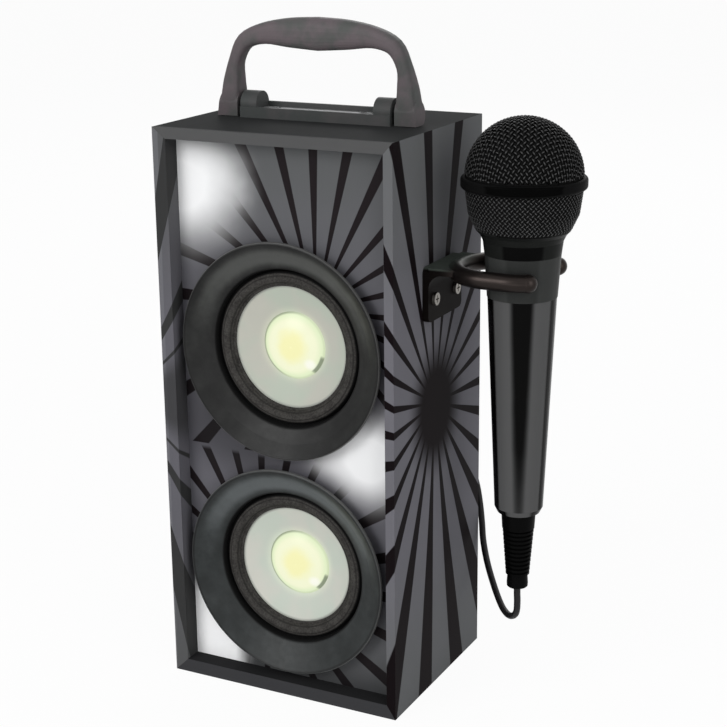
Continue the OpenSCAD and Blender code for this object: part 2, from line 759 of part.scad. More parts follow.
// The base between the feet: a channel with a knuckle at each end
module handle_base() {
  color(handle_grey) difference() {
    union() {
      translate([-base_half, -base_depth / 2, cabinet_height]) cube([2 * base_half, base_depth, strip_z - strip_thickness - cabinet_height]);
      translate([-base_half, -base_depth / 2, cabinet_height]) cube([2 * base_half, base_wall, base_front]);
      translate([-base_half, base_depth / 2 - base_wall, cabinet_height]) cube([2 * base_half, base_wall, base_rear]);
      for (x = [-base_half, knuckle_in]) {
        translate([x, 0, axis_z]) rotate([0, 90, 0]) cylinder(r = knuckle_r, h = knuckle_length);
        translate([x, -base_depth / 2, cabinet_height]) cube([knuckle_length, base_depth, base_front]);
      }
    }
    for (s = [-1, 1]) translate([s * (knuckle_in + 1.5), 0, axis_z]) rotate([0, s * 90, 0])
      cylinder(r = pin_r, h = knuckle_length);
    for (x = [-1, 1]) translate([x * slot_x, 0, cabinet_height - 1]) cylinder(r = 1.3, h = 20);
  }
}

// The bright strip that lies in the channel, slotted over the screws
module handle_plate() {
  l = 2 * knuckle_in - 0.4;
  w = base_depth - 2 * base_wall - 0.4;
  color(plug_silver) translate([0, 0, strip_z - strip_thickness]) linear_extrude(strip_thickness) difference() {
    square([l, w], center = true);
    for (x = [-1, 1]) translate([x * slot_x, 0]) slot_shape(slot_length, slot_w);
  }
}

module handle_screws() {
  color(gloss_black) for (x = [-1, 1]) translate([x * slot_x, 0, strip_z - strip_thickness])
    screw(2.2, 0.9, 1.3, strip_z - strip_thickness - cabinet_height + board - 0.5);
}

// Microphone holder

// The ring: two arms that reach round the collar from a half circle, with a bead on each end
module holder_ring() {
  translate([bend_x, 0, seat_z]) rotate(90) rotate_extrude(angle = 180) translate([arm_r, 0]) circle(ring_section);
  for (s = [0, 1]) mirror([0, s, 0]) {
    translate([bend_x, arm_r, seat_z]) rotate([0, 90, 0]) cylinder(r = ring_section, h = ring_straight);
    translate([mic_x, 0, seat_z]) rotate(90 - ring_wrap) rotate_extrude(angle = ring_wrap)
      translate([arm_r, 0]) circle(ring_section);
    translate([mic_x + arm_r * sin(ring_wrap), arm_r * cos(ring_wrap), seat_z]) sphere(r = ring_section + bead_step);
  }
}

// The bracket seen from the front: plate, coved corner and arm
module holder_profile() {
  reach = bend_x - half_w;
  under = plate_top - holder_plate;
  difference() {
    union() {
      translate([0, plate_foot]) square([holder_plate, holder_height]);
      translate([0, under]) square([reach, holder_plate]);
      translate([holder_plate, under - tongue_cove]) square([tongue_cove, tongue_cove]);
    }
    translate([holder_plate + tongue_cove, under - tongue_cove]) circle(tongue_cove);
  }
}

module mic_holder() {
  color(gloss_black) difference() {
    union() {
      difference() {
        intersection() {
          translate([half_w, 0, 0]) rotate([90, 0, 0]) linear_extrude(holder_width, center = true) holder_profile();
          union() {
            translate([half_w + 1, 0, plate_foot + holder_height / 2]) rotate([90, 0, 90])
              translate([0, 0, -2]) round_plate(holder_width, holder_height, 3, holder_plate + 2);
            translate([half_w + holder_plate, -holder_width / 2, plate_foot + 4])
              cube([bend_x - half_w, holder_width, holder_height]);
          }
        }
        translate([bend_x, 0, plate_foot]) cylinder(r = arm_r, h = 2 * holder_height);
      }
      holder_ring();
    }
    for (y = [-1, 1]) translate([half_w - 1, y * holder_screw_spacing / 2, plate_foot + holder_screw_height])
      rotate([0, 90, 0]) cylinder(r = holder_screw_r, h = holder_plate + 2);
  }
}

module mic_holder_screws() {
  color(plug_silver) for (y = [-1, 1])
    translate([half_w + holder_plate, y * holder_screw_spacing / 2, plate_foot + holder_screw_height])
    rotate([0, 90, 0]) screw(screw_head_r, 1.4, holder_screw_r, holder_plate + board - 0.5);
}

// Microphone

module mic_at(z) {
  translate([mic_x, 0, z]) children();
}

// The ball's upper half of wire mesh
module mic_grille_upper() {
  color(mesh_black) mic_at(dome_z) rotate_extrude() intersection() {
    difference() {
      circle(grille_r);
      circle(grille_r - mesh_wall);
    }
    square([grille_r, grille_r]);
  }
}

// The ball's lower half, which draws in towards the neck
module mic_grille_lower() {
  foot_r = grille_foot / 2;
  swell = mix(foot_r, grille_r, 0.68);
  color(mesh_black) mic_at(ball_z) rotate_extrude()
    polygon([[foot_r, 0], [swell, lower_grille_height * 0.38], [grille_r - 0.7, lower_grille_height * 0.7],
      [grille_r, lower_grille_height], [grille_r - mesh_wall, lower_grille_height],
      [grille_r - 0.7 - mesh_wall, lower_grille_height * 0.7], [swell - mesh_wall, lower_grille_height * 0.38],
      [foot_r - mesh_wall - 0.2, 0]]);
}

// The band that clamps the two halves of the ball
module mic_band() {
  out = band_diameter / 2;
  round_r = 1.4;
  color(trim_black) mic_at(band_z) rotate_extrude() {
    translate([grille_r - mesh_wall - 0.6, 0]) square([out - round_r - grille_r + mesh_wall + 0.6, band_height]);
    translate([out - round_r, round_r]) square([round_r, band_height - 2 * round_r]);
    for (z = [round_r, band_height - round_r]) translate([out - round_r, z]) circle(round_r);
  }
}

// The neck: a flared cup under the ball
module mic_neck() {
  top = grille_foot / 2 + 0.3;
  slim = neck_diameter / 2;
  color(trim_black) mic_at(seam_z) rotate_extrude()
    polygon([[collar_top_r, 0], [slim, neck_height], [mix(slim, top, 0.45), neck_height + flare_height * 0.55],
      [top, neck_height + flare_height - 0.6], [top, neck_height + flare_height],
      [capsule_diameter / 2 - 2, neck_height + flare_height], [capsule_diameter / 2 - 2, neck_height + flare_height - 2],
      [slim - mic_wall - 1, neck_height + flare_height - 2.6], [slim - mic_wall - 1, neck_height],
      [collar_top_r - mic_wall - 0.4, 0]]);
}

module mic_collar() {
  color("#3c3c3c") mic_at(collar_z) rotate_extrude()
    polygon([[collar_foot_r - mic_wall, 0], [collar_foot_r, 0], [collar_top_r, collar_height],
      [collar_top_r - mic_wall, collar_height]]);
}

// The long tapered body, closed at its foot round the strain relief
module mic_body() {
  neck_r = relief_top / 2 - 2.4;
  color(gloss_black) mic_at(foot_z) rotate_extrude()
    polygon([[body_foot_r - body_chamfer, 0], [body_foot_r, body_chamfer * 2], [body_top_r, body_length],
      [body_top_r - mic_wall, body_length], [body_foot_r - mic_wall, body_chamfer * 2 + 2], [neck_r, body_chamfer * 2 + 2],
      [neck_r, 0]]);
}

// The capsule stands on the neck, inside the ball
module mic_capsule() {
  r = capsule_diameter / 2;
  color(steel) mic_at(ball_z) rotate_extrude()
    polygon([[0, 0], [r - 1, 0], [r, 1], [r, capsule_height - 1.5], [r - 1.5, capsule_height], [0, capsule_height]]);
}

// A foam lining behind the upper mesh
module mic_foam() {
  out = grille_r - mesh_wall - 0.1;
  color("#101010") mic_at(dome_z) rotate_extrude() intersection() {
    difference() {
      circle(out);
      circle(out - foam_wall);
    }
    square([out, out]);
  }
}

// The strain relief: a plain neck, a row of ribs that tapers, and a short end ring
module mic_strain_relief() {
  plain = relief_length * 0.22;
  ribbed = relief_length * 0.61;
  pitch = ribbed / relief_ribs;
  top_r = relief_top / 2;
  end_r = relief_end / 2;
  neck_r = top_r - 2.4;
  ribs = [for (i = [0:relief_ribs - 1])
    let (z = relief_length - plain - i * pitch, r = mix(top_r - 0.8, end_r + 0.5, i / relief_ribs))
    each [[r - 0.9, z], [r - 0.9, z - pitch * 0.3], [r, z - pitch * 0.45], [r, z - pitch * 0.9]]];
  color(gloss_black) mic_at(relief_z) rotate_extrude()
    polygon(concat([[0, relief_length + 4.6], [neck_r, relief_length + 4.6], [neck_r, relief_length], [top_r, relief_length],
      [top_r - 0.5, relief_length - plain]], ribs, [[end_r - 0.2, relief_length - plain - ribbed], [end_r + 0.1, 2],
      [end_r, 0.4], [end_r - 0.4, 0], [0, 0]]));
}

// Cord

// Distance from the coil's middle, and height, at a count of turns from its start
function coil_reach(u) =
  let (k = min(floor(u / layer_turns), coil_layers - 1), v = u - k * layer_turns)
  k % 2 == 0 ? coil_outer - turn_pitch * v : coil_inner + turn_pitch * v;

function coil_climb(u) = [for (k = [1:coil_layers - 1]) min(max((u - k * layer_turns) / 0.5 + 0.5, 0), 1)]
  * [for (k = [1:coil_layers - 1]) turn_pitch];

function coil_point(u) =
  let (a = -90 - 360 * u, r = coil_reach(u))
  [coil_x + r * cos(a), coil_y + r * sin(a), coil_base + coil_climb(u)];

coil_line = concat([[-0.6, coil_first, coil_base]],
  [for (i = [0:coil_turns * coil_steps]) coil_point(i / coil_steps)], [[-0.6, coil_last, coil_top]]);

// The least gap between one stretch of the coil and another, wall to wall
coil_gap_least = min([for (i = [1:len(coil_line) - 2], j = [i + coil_steps / 2:len(coil_line) - 2])
  norm(coil_line[i] - coil_line[j])]) - cord_diameter;
echo(least_gap_in_coil = coil_gap_least);

module cord_front() {
  color("#161616") tube(curve(front_route, 2), cord_r, 8, [0, 1, 0]);
}

module cord_coil() {
  color("#161616") tube(coil_line, cord_r, 6, [0, 0, 1]);
}

module cord_back() {
  color("#161616") tube(curve(back_route, 2), cord_r, 8, [0, 0, 1]);
}

// A flat tie round the bundle on the side away from the ends
module cord_tie() {
  low = 0;
  high = coil_top + cord_r + 0.1 + tie_wall;
  near = coil_inner - cord_r - 0.5;
  far = coil_outer + cord_r + 0.5;
  color("#202020") translate([coil_x, coil_y, 0]) rotate(180) rotate([90, 0, 0]) linear_extrude(5, center = true)
    difference() {
      translate([near - tie_wall, low]) square([far - near + 2 * tie_wall, high]);
      translate([near, tie_wall]) square([far - near, high - 2 * tie_wall]);
    }
}

// The microphone's plug, seated in its jack
module mic_plug() {
  tip = jack_depth - 0.6;
  color(gloss_black) to_back(mic_jack_x, jack_face, plug_z) rotate_extrude()
    polygon([[0, -tip], [plug_radius - 0.9, -tip + 0.4], [plug_radius - 0.2, -tip + 1.8], [plug_radius - 0.7, -tip + 3],
      [plug_radius, -tip + 3.4], [plug_radius, 0], [barrel_radius - 0.5, 0], [barrel_radius, 0.6],
      [barrel_radius, barrel_length - 1.5], [cord_r + 1.6, barrel_length], [cord_r + 1, barrel_length + 0.4],
      [cord_r + 0.5, barrel_length + plug_relief], [0, barrel_length + plug_relief]]);
}

// Control panel on the back

module panel_screw_places() {
  for (x = [-1, 1], z = [-1, 1])
    to_back(x * (panel_width - panel_flange) / 2, half_d, panel_middle + z * (panel_height - panel_flange) / 2) children();
}

module post_places() {
  for (x = [-1, 1], z = [-1, 1])
    to_back(x * (cut_w / 2 - 4.4), pcb_face, panel_middle + z * (cut_h / 2 - 4.4)) children();
}

// The panel: a thin plate with a raised rim, a box behind it and posts for the circuit board
module control_panel() {
  rim_w = cut_w - 2 * board_fit;
  rim_h = cut_h - 2 * board_fit;
  color("#202022") difference() {
    union() {
      to_back(0, half_d, panel_middle) round_plate(panel_width, panel_height, 4, panel_thickness);
      to_back(0, half_d - 8, panel_middle) difference() {
        translate([-rim_w / 2, -rim_h / 2, 0]) cube([rim_w, rim_h, 8]);
        translate([1.6 - rim_w / 2, 1.6 - rim_h / 2, -1]) cube([rim_w - 3.2, rim_h - 3.2, 12]);
      }
      post_places() {
        cylinder(r = 2.6, h = board_standoff);
        translate([0, 0, -pcb_thickness - 0.8]) cylinder(r = 1.2, h = 4);
      }
    }
    to_back(0, panel_face - 0.6, panel_middle)
      round_plate(panel_width - 2 * panel_rim, panel_height - 2 * panel_rim, 4 - panel_rim, 2);
    panel_screw_places() translate([0, 0, -20]) cylinder(r = 1.4, h = 40);
    for (x = button_x) to_back(x, half_d - 1, button_z) cylinder(r = button_r + button_gap, h = 8);
    for (x = [mic_jack_x, aux_jack_x]) to_back(x, half_d - 1, socket_z) cylinder(r = 4.2, h = 8);
    to_back(usb_x, half_d - 1, socket_z) linear_extrude(8) square([13.6, 6.2], center = true);
    to_back(card_x, half_d - 1, socket_z) linear_extrude(8) slot_shape(12, 1.8);
    to_back(port_x, half_d - 1, switch_z) linear_extrude(8) slot_shape(9.6, 3.8);
    to_back(light_x, half_d - 1, switch_z) cylinder(r = 1.6, h = 8);
    to_back(switch_x, half_d - 1, switch_z) linear_extrude(8) square([switch_travel + 7.4, 5.4], center = true);
  }
}

module control_panel_screws() {
  color(magnet_black) panel_screw_places() translate([0, 0, panel_thickness - 0.6]) screw(2, 1, 1.1,
    panel_thickness - 0.6 + back_thickness - 0.5);
}

// A push button: cap, collar behind the panel, and a stem in its switch
module button(x) {
  collar = 1.2;
  stem_end = -board_standoff + 2.6;
  color("#3a3a3c") to_back(x, half_d, button_z) difference() {
    rotate_extrude()
      polygon([[0, stem_end], [1.4, stem_end], [1.4, -0.3 - collar], [button_r + 1.3, -0.3 - collar], [button_r + 1.3, -0.3],
        [button_r, -0.3], [button_r, panel_thickness - 0.6 + button_proud - 0.5],
        [button_r - 0.5, panel_thickness - 0.6 + button_proud], [0, panel_thickness - 0.6 + button_proud]]);
    button_mark(x);
  }
}

// A shallow mark on each button: a ring, two arrows apart, and a triangle
module button_mark(x) {
  translate([0, 0, panel_thickness - 0.6 + button_proud - 0.3]) linear_extrude(1) {
    if (x == button_x[0]) difference() {
      circle(1.9);
      circle(1.3);
    }
    if (x == button_x[1]) for (s = [-1.2, 0.8]) translate([s, 0]) polygon([[1.2, 1.5], [-1, 0], [1.2, -1.5]]);
    if (x == button_x[2]) polygon([[-1.3, 1.8], [1.9, 0], [-1.3, -1.8]]);
    if (x == button_x[3]) for (s = [-0.8, 1.2]) translate([s, 0]) polygon([[-1.2, 1.5], [1, 0], [-1.2, -1.5]]);
  }
}

// The power switch's slider, with ridges for a fingertip
module power_switch() {
  color("#3a3a3c") to_back(switch_x - switch_travel / 2, half_d, switch_z) {
    translate([-4.2, -3.6, -1.5]) cube([8.4, 7.2, 1.2]);
    translate([-3, -2.4, -0.4]) cube([6, 4.8, panel_thickness + 0.9]);
    for (x = [-2, 0, 2]) translate([x - 0.4, -2.4, panel_thickness + 0.4]) cube([0.8, 4.8, 0.6]);
    translate([-1, -1, -board_standoff + 3]) cube([2, 2, board_standoff - 4]);
  }
}

// A round jack: a block on the circuit board and a nose in the panel
module jack(x) {
  color(magnet_black) difference() {
    union() {
      to_back(x, jack_face - jack_depth - 1, socket_z) translate([-4.5, -4.5, 0]) cube([9, 9, half_d - 0.3 - jack_face + jack_depth + 1]);
      to_back(x, half_d - 2, socket_z) cylinder(r = 4, h = panel_thickness + jack_nose + 2);
    }
    to_back(x, jack_face - jack_depth, socket_z) cylinder(r = jack_radius, h = jack_depth + 1);
  }
}

module mic_jack() {
  jack(mic_jack_x);
}

module aux_jack() {
  jack(aux_jack_x);
}

module usb_socket() {
  depth = board_standoff + panel_thickness - 0.8;
  color(steel) to_back(usb_x, pcb_face, socket_z) {
    difference() {
      linear_extrude(depth) square([13.2, 5.8], center = true);
      translate([0, 0, 2]) linear_extrude(depth) square([12.4, 5], center = true);
    }
    translate([-5.6, -0.3, 1]) cube([11.2, 1.8, depth - 2.5]);
  }
}

module charging_port() {
  depth = board_standoff + panel_thickness - 0.8;
  color(steel) to_back(port_x, pcb_face, switch_z) {
    difference() {
      linear_extrude(depth) slot_shape(9.2, 3.4);
      translate([0, 0, 2]) linear_extrude(depth) slot_shape(8.5, 2.7);
    }
    translate([-3.1, -0.35, 1]) cube([6.2, 0.7, depth - 2.5]);
  }
}

module status_light() {
  color("#e8f4ff") to_back(light_x, pcb_face, switch_z) {
    cylinder(r = 1.5, h = board_standoff + panel_thickness - 0.9);
    cylinder(r = 2.2, h = 2);
  }
}

// The circuit board: the amplifier, its parts, and the small switches under the buttons
module circuit_board() {
  w = cut_w - 5;
  h = cut_h - 5;
  color(board_green) difference() {
    union() {
      to_back(0, pcb_face - pcb_thickness, panel_middle) round_plate(w, h, 1.5, pcb_thickness);
      for (x = button_x) to_back(x, pcb_face - 0.01, button_z) translate([-3, -3, 0]) cube([6, 6, 4]);
      to_back(switch_x, pcb_face - 0.01, switch_z) difference() {
        translate([-6, -3, 0]) cube([12, 6, 4.6]);
        translate([-switch_travel / 2 - 1.4, -1.4, 1.2]) cube([switch_travel + 2.8, 2.8, 8]);
      }
      to_back(card_x, pcb_face - 0.01, socket_z) difference() {
        translate([-7, -1.6, 0]) cube([14, 3.2, board_standoff - 0.5]);
        translate([0, 0, 2]) linear_extrude(20) slot_shape(11.6, 1.4);
      }
      to_back(-20, pcb_face - pcb_thickness - 8, panel_middle + 8) cylinder(r = 5, h = 8.1);
      to_back(-8, pcb_face - pcb_thickness - 8, panel_middle + 8) cylinder(r = 5, h = 8.1);
      to_back(12, pcb_face - pcb_thickness - 2, panel_middle) translate([-6, -6, 0]) cube([12, 12, 2.1]);
    }
    for (x = button_x) to_back(x, pcb_face + 0.8, button_z) cylinder(r = 1.7, h = 8);
    for (x = [mic_jack_x, aux_jack_x]) to_back(x, pcb_face - 8, socket_z) translate([-4.6, -4.6, 0]) cube([9.2, 9.2, 20]);
    post_places() translate([0, 0, -8]) cylinder(r = 1.3, h = 12);
  }
}

// Two round cells in a cradle on the cabinet's floor
module battery_pack() {
  l = cell_length + 2 * cradle_wall + 0.6;
  w = 2 * cell_diameter + 2 * cradle_wall + 1;
  y = back_inner - batten - w / 2 - 0.6;
  color("#2f5fa8") {
    translate([-l / 2, y - w / 2, board]) cube([l, w, cradle_wall]);
    for (x = [-l / 2, l / 2 - cradle_wall]) translate([x, y - w / 2, board]) cube([cradle_wall, w, cell_r + cradle_wall]);
    for (s = [-1, 1]) translate([-cell_length / 2 - 0.3, y + s * (cell_r + 0.2), board + cradle_wall + cell_r - 0.1])
      rotate([0, 90, 0]) cylinder(r = cell_r, h = cell_length + 0.6);
  }
}

left_panel();
right_panel();
top_panel();
bottom_panel();
front_baffle();
back_panel();
back_battens();
back_panel_screws();
trim(upper_z);  // upper_trim
surround(upper_z);  // upper_surround
cone(upper_z);  // upper_cone
dome(upper_z);  // upper_dome
voice_coil(upper_z);  // upper_voice_coil
basket(upper_z);  // upper_basket
magnet(upper_z);  // upper_magnet
light_board(upper_z);  // upper_light_board
trim(lower_z);  // lower_trim
surround(lower_z);  // lower_surround
cone(lower_z);  // lower_cone
dome(lower_z);  // lower_dome
voice_coil(lower_z);  // lower_voice_coil
basket(lower_z);  // lower_basket
magnet(lower_z);  // lower_magnet
light_board(lower_z);  // lower_light_board
speaker_screws();
handle();
handle_pins();
handle_base();
handle_plate();
handle_screws();
mic_holder();
mic_holder_screws();
mic_grille_upper();
mic_grille_lower();
mic_band();
mic_neck();
mic_collar();
mic_body();
mic_capsule();
mic_foam();
mic_strain_relief();
mic_plug();
cord_front();
cord_coil();
cord_back();
cord_tie();
control_panel();
control_panel_screws();
button(button_x[0]);  // mode_button
button(button_x[1]);  // previous_button
button(button_x[2]);  // play_button
button(button_x[3]);  // next_button
power_switch();
mic_jack();
aux_jack();
usb_socket();
charging_port();
status_light();
circuit_board();
battery_pack();
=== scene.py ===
"""The look of a portable karaoke tower: a grey cabinet printed with a dark sunburst, two lit
speakers, a folding handle, and a wired microphone in a holder on the right side."""

import math

import bmesh
import bpy
from mathutils import Matrix, Vector


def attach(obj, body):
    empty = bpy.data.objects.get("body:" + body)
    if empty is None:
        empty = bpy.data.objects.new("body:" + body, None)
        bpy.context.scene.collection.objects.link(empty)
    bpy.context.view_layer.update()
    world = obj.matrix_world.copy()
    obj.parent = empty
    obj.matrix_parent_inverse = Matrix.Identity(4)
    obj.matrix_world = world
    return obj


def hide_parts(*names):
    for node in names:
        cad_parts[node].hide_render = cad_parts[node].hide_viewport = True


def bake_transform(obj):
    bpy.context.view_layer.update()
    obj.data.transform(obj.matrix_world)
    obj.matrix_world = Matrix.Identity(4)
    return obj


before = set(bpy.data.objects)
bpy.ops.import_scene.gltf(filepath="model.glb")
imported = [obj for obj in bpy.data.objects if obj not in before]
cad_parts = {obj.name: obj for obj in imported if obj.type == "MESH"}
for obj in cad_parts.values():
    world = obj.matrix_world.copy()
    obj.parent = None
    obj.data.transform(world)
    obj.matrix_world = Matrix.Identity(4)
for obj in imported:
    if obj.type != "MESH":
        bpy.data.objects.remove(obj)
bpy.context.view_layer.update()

MM = 0.001

# Sizes of the cabinet and the microphone, in millimetres, as the CAD model has them
HALF_WIDTH = 60.5
HALF_DEPTH = 48.0
HEIGHT = 270.0
BOARD = 5.5
BAFFLE_FACE = -37.0
SPEAKER_Z = {"lower": 61.0, "upper": 169.5}
TRIM_RADIUS = 51.6
MOUTH_RADIUS = 37.6
DOME_RADIUS = 16.1
DISC_RADIUS = 29.1
MIC_X = 101.1
BALL_RADIUS = 25.5
BALL_CENTRE_Z = 251.3
BALL_FOOT_Z = 228.2
BAND_FOOT_Z = 246.1
BALL_FOOT_RADIUS = 20.8


# Colour and shader maths

COAT_ROUGHNESS = 0.1

# The Texture Coordinate node's output that follows the object itself
OBJECT_OUTPUT = 3


def colour(code):
    """A colour written as on a screen, turned into the linear values that a shader takes."""
    parts = [int(code[i : i + 2], 16) / 255 for i in (1, 3, 5)]
    linear = [p / 12.92 if p <= 0.04045 else ((p + 0.055) / 1.055) ** 2.4 for p in parts]
    return (*linear, 1.0)


class Field:
    """A value that varies over a surface. Arithmetic on it adds Math nodes."""

    def __init__(self, finish, socket):
        self.finish = finish
        self.socket = socket

    def __add__(self, other):
        return self.finish.math("ADD", self, other)

    def __radd__(self, other):
        return self.finish.math("ADD", other, self)

    def __sub__(self, other):
        return self.finish.math("SUBTRACT", self, other)

    def __rsub__(self, other):
        return self.finish.math("SUBTRACT", other, self)

    def __mul__(self, other):
        return self.finish.math("MULTIPLY", self, other)

    def __rmul__(self, other):
        return self.finish.math("MULTIPLY", other, self)

    def __truediv__(self, other):
        return self.finish.math("DIVIDE", self, other)

    def __rtruediv__(self, other):
        return self.finish.math("DIVIDE", other, self)

    def __neg__(self):
        return self.finish.math("MULTIPLY", self, -1.0)

    def __abs__(self):
        return self.finish.math("ABSOLUTE", self)

    def __gt__(self, other):
        return self.finish.math("GREATER_THAN", self, other)

    def __lt__(self, other):
        return self.finish.math("LESS_THAN", self, other)


def add_node(tree, kind, settings=None, inputs=None):
    """Any node: its type, its settings, then the values or links of its sockets."""
    made = tree.nodes.new(kind)
    for key, value in (settings or {}).items():
        setattr(made, key, value)
    for key, value in (inputs or {}).items():
        if isinstance(value, Field):
            value = value.socket
        if isinstance(value, bpy.types.NodeSocket):
            tree.links.new(value, made.inputs[key])
        else:
            made.inputs[key].default_value = value
    return made


class Finish:
    """A material on one shader, with short ways to add what varies over it."""

    def __init__(self, name, base="#808080", rough=0.5, metal=0.0, spec=0.5, coat=0.0):
        self.material = bpy.data.materials.new(name)
        self.material.use_nodes = True
        self.tree = self.material.node_tree
        self.shader = self.tree.nodes["Principled BSDF"]
        self.set("Base Color", colour(base))
        self.set("Roughness", rough)
        self.set("Metallic", metal)
        self.set("Specular IOR Level", spec)
        self.set("Coat Weight", coat)
        self.set("Coat Roughness", COAT_ROUGHNESS)
        self.spot = None

    def set(self, socket, value):
        """Gives one of the shader's sockets a value or a link."""
        target = self.shader.inputs[socket]
        if isinstance(value, Field):
            self.tree.links.new(value.socket, target)
        else:
            target.default_value = value

    def node(self, kind, settings=None, inputs=None, out=0):
        """A node of this material, as the value that one of its sockets gives."""
        return Field(self, add_node(self.tree, kind, settings, inputs).outputs[out])

    def math(self, operation, *values):
        return self.node("ShaderNodeMath", {"operation": operation}, dict(enumerate(values)))

    def point(self):
        """The point on the surface, as a vector in millimetres."""
        if self.spot is None:
            spot = self.node("ShaderNodeTexCoord", out=OBJECT_OUTPUT)
            self.spot = self.node("ShaderNodeVectorMath", {"operation": "SCALE"}, {0: spot, 3: 1 / MM})
        return self.spot

    def place(self):
        """The point on the surface, as x, y and z in millimetres."""
        return [self.node("ShaderNodeSeparateXYZ", {}, {0: self.point()}, out=i) for i in range(3)]

    def vector(self, x, y, z):
        return self.node("ShaderNodeCombineXYZ", {}, {0: x, 1: y, 2: z})

    def noise(self, size, detail=2.0, rough=0.5, at=None):
        """Soft noise from 0 to 1 with features about this many millimetres across."""
        inputs = {"Vector": at or self.point(), "Scale": 1.0 / size, "Detail": detail, "Roughness": rough}
        return self.node("ShaderNodeTexNoise", {"noise_dimensions": "3D"}, inputs)

    def smooth(self, value, low, high):
        """0 below low, 1 above high, and smooth between them."""
        settings = {"interpolation_type": "SMOOTHSTEP"}
        return self.node("ShaderNodeMapRange", settings, {0: value, 1: low, 2: high, 3: 0.0, 4: 1.0})

    def slope(self, value, low, high, start, end):
        """Start below low, end above high, and straight between them."""
        return self.node("ShaderNodeMapRange", {}, {0: value, 1: low, 2: high, 3: start, 4: end})

    def mix(self, a, b, factor):
        """Colour a where the factor is 0 and b where it is 1."""
        settings = {"data_type": "RGBA"}
        return self.node("ShaderNodeMix", settings, {0: factor, 6: a, 7: b}, out=2)

    def facing(self):
        """0 where the surface looks at the viewer and 1 at its outline, used to paint reflections into
        colour.
        """
        return self.node("ShaderNodeLayerWeight", {}, {"Blend": 0.5}, out=1)

    def length(self, *parts):
        """The length of a vector whose parts are these values."""
        return self.math("SQRT", sum(part * part for part in parts))

    def bump(self, height, depth):
        """Raises the surface by the height times this depth in millimetres."""
        inputs = {"Strength": 1.0, "Distance": depth * MM, "Height": height}
        self.set("Normal", self.node("ShaderNodeBump", {}, inputs))

    def dress(self, *objects):
        """Puts this finish on each object, a CAD node's name or a piece."""
        for item in objects:
            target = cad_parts[item] if isinstance(item, str) else item
            slots = target.data.materials
            slots.clear()
            slots.append(self.material)
        return self


# The camera, the floor and the light, with angles in radians and lengths in metres

CAMERA_TURN = 0.47462179
CAMERA_TILT = 0.28895762
CAMERA_ROLL = -0.0110107
CAMERA_PLACE = (0.36569, -0.67062, 0.37980)
SENSOR_MM = 36
FOCAL_PIXELS = 1658.18
PHOTO_PIXELS = 727

WORLD_TINT = (0.95, 0.97, 1.0, 1)
WORLD_LEVEL = 0.42
FLOOR_TINT = (0.9, 0.9, 0.9, 1)
FLOOR_GLOW = 0.95
FLOOR_REACH = 6.0

# Each lamp's name, its place, the height that it aims at on the axis, its width, height and power
LAMPS = (
    ("key", (-0.7, -1.5, 0.9), 0.14, 0.9, 0.9, 15),
    ("fill", (1.5, -0.8, 0.7), 0.14, 1.2, 1.4, 11),
    ("rear", (-0.4, 1.5, 1.1), 0.14, 1.0, 0.8, 6),
    ("low", (0.1, -1.3, 0.12), 0.16, 0.9, 0.2, 1.2),
)


def add_camera():
    """The camera of the photograph, which looks along minus back."""
    back = Vector(
        (
            math.sin(CAMERA_TURN) * math.cos(CAMERA_TILT),
            -math.cos(CAMERA_TURN) * math.cos(CAMERA_TILT),
            math.sin(CAMERA_TILT),
        )
    )
    right = Vector((math.cos(CAMERA_TURN), math.sin(CAMERA_TURN), 0))
    up = back.cross(right)
    tilted_right = math.cos(CAMERA_ROLL) * right + math.sin(CAMERA_ROLL) * up
    tilted_up = -math.sin(CAMERA_ROLL) * right + math.cos(CAMERA_ROLL) * up
    data = bpy.data.cameras.new("camera")
    data.sensor_width = SENSOR_MM
    data.lens = FOCAL_PIXELS / PHOTO_PIXELS * SENSOR_MM
    data.clip_start = 0.01
    data.clip_end = 50
    camera = bpy.data.objects.new("camera", data)
    turn = Matrix((tilted_right, tilted_up, back)).transposed()
    camera.matrix_world = Matrix.Translation(CAMERA_PLACE) @ turn.to_4x4()
    bpy.context.scene.collection.objects.link(camera)
    bpy.context.scene.camera = camera


def add_lamp(name, place, aim, width, height, power):
    data = bpy.data.lights.new(name, "AREA")
    data.shape = "RECTANGLE"
    data.size = width
    data.size_y = height
    data.energy = power
    lamp = bpy.data.objects.new(name, data)
    lamp.location = place
    lamp.rotation_euler = (Vector(aim) - Vector(place)).to_track_quat("-Z", "Y").to_euler()
    bpy.context.scene.collection.objects.link(lamp)


def emptied_tree(owner):
    owner.use_nodes = True
    owner.node_tree.nodes.clear()
    return owner.node_tree


def seen_by_eye(tree):
    """1 for rays from the camera and for those that gloss or glass sends on."""
    path = add_node(tree, "ShaderNodeLightPath").outputs
    total = path["Is Camera Ray"]
    for name in ("Is Glossy Ray", "Is Transmission Ray"):
        joined = add_node(tree, "ShaderNodeMath", {"operation": "MAXIMUM"}, {0: total, 1: path[name]})
        total = joined.outputs[0]
    return total


def add_world():
    world = bpy.data.worlds.new("studio")
    tree = emptied_tree(world)
    soft = add_node(tree, "ShaderNodeBackground", {}, {"Color": WORLD_TINT, "Strength": WORLD_LEVEL})
    white = add_node(tree, "ShaderNodeBackground", {}, {"Color": (1, 1, 1, 1), "Strength": 1.0})
    inputs = {0: seen_by_eye(tree), 1: soft.outputs[0], 2: white.outputs[0]}
    mix = add_node(tree, "ShaderNodeMixShader", {}, inputs)
    add_node(tree, "ShaderNodeOutputWorld", {}, {0: mix.outputs[0]})
    bpy.context.scene.world = world


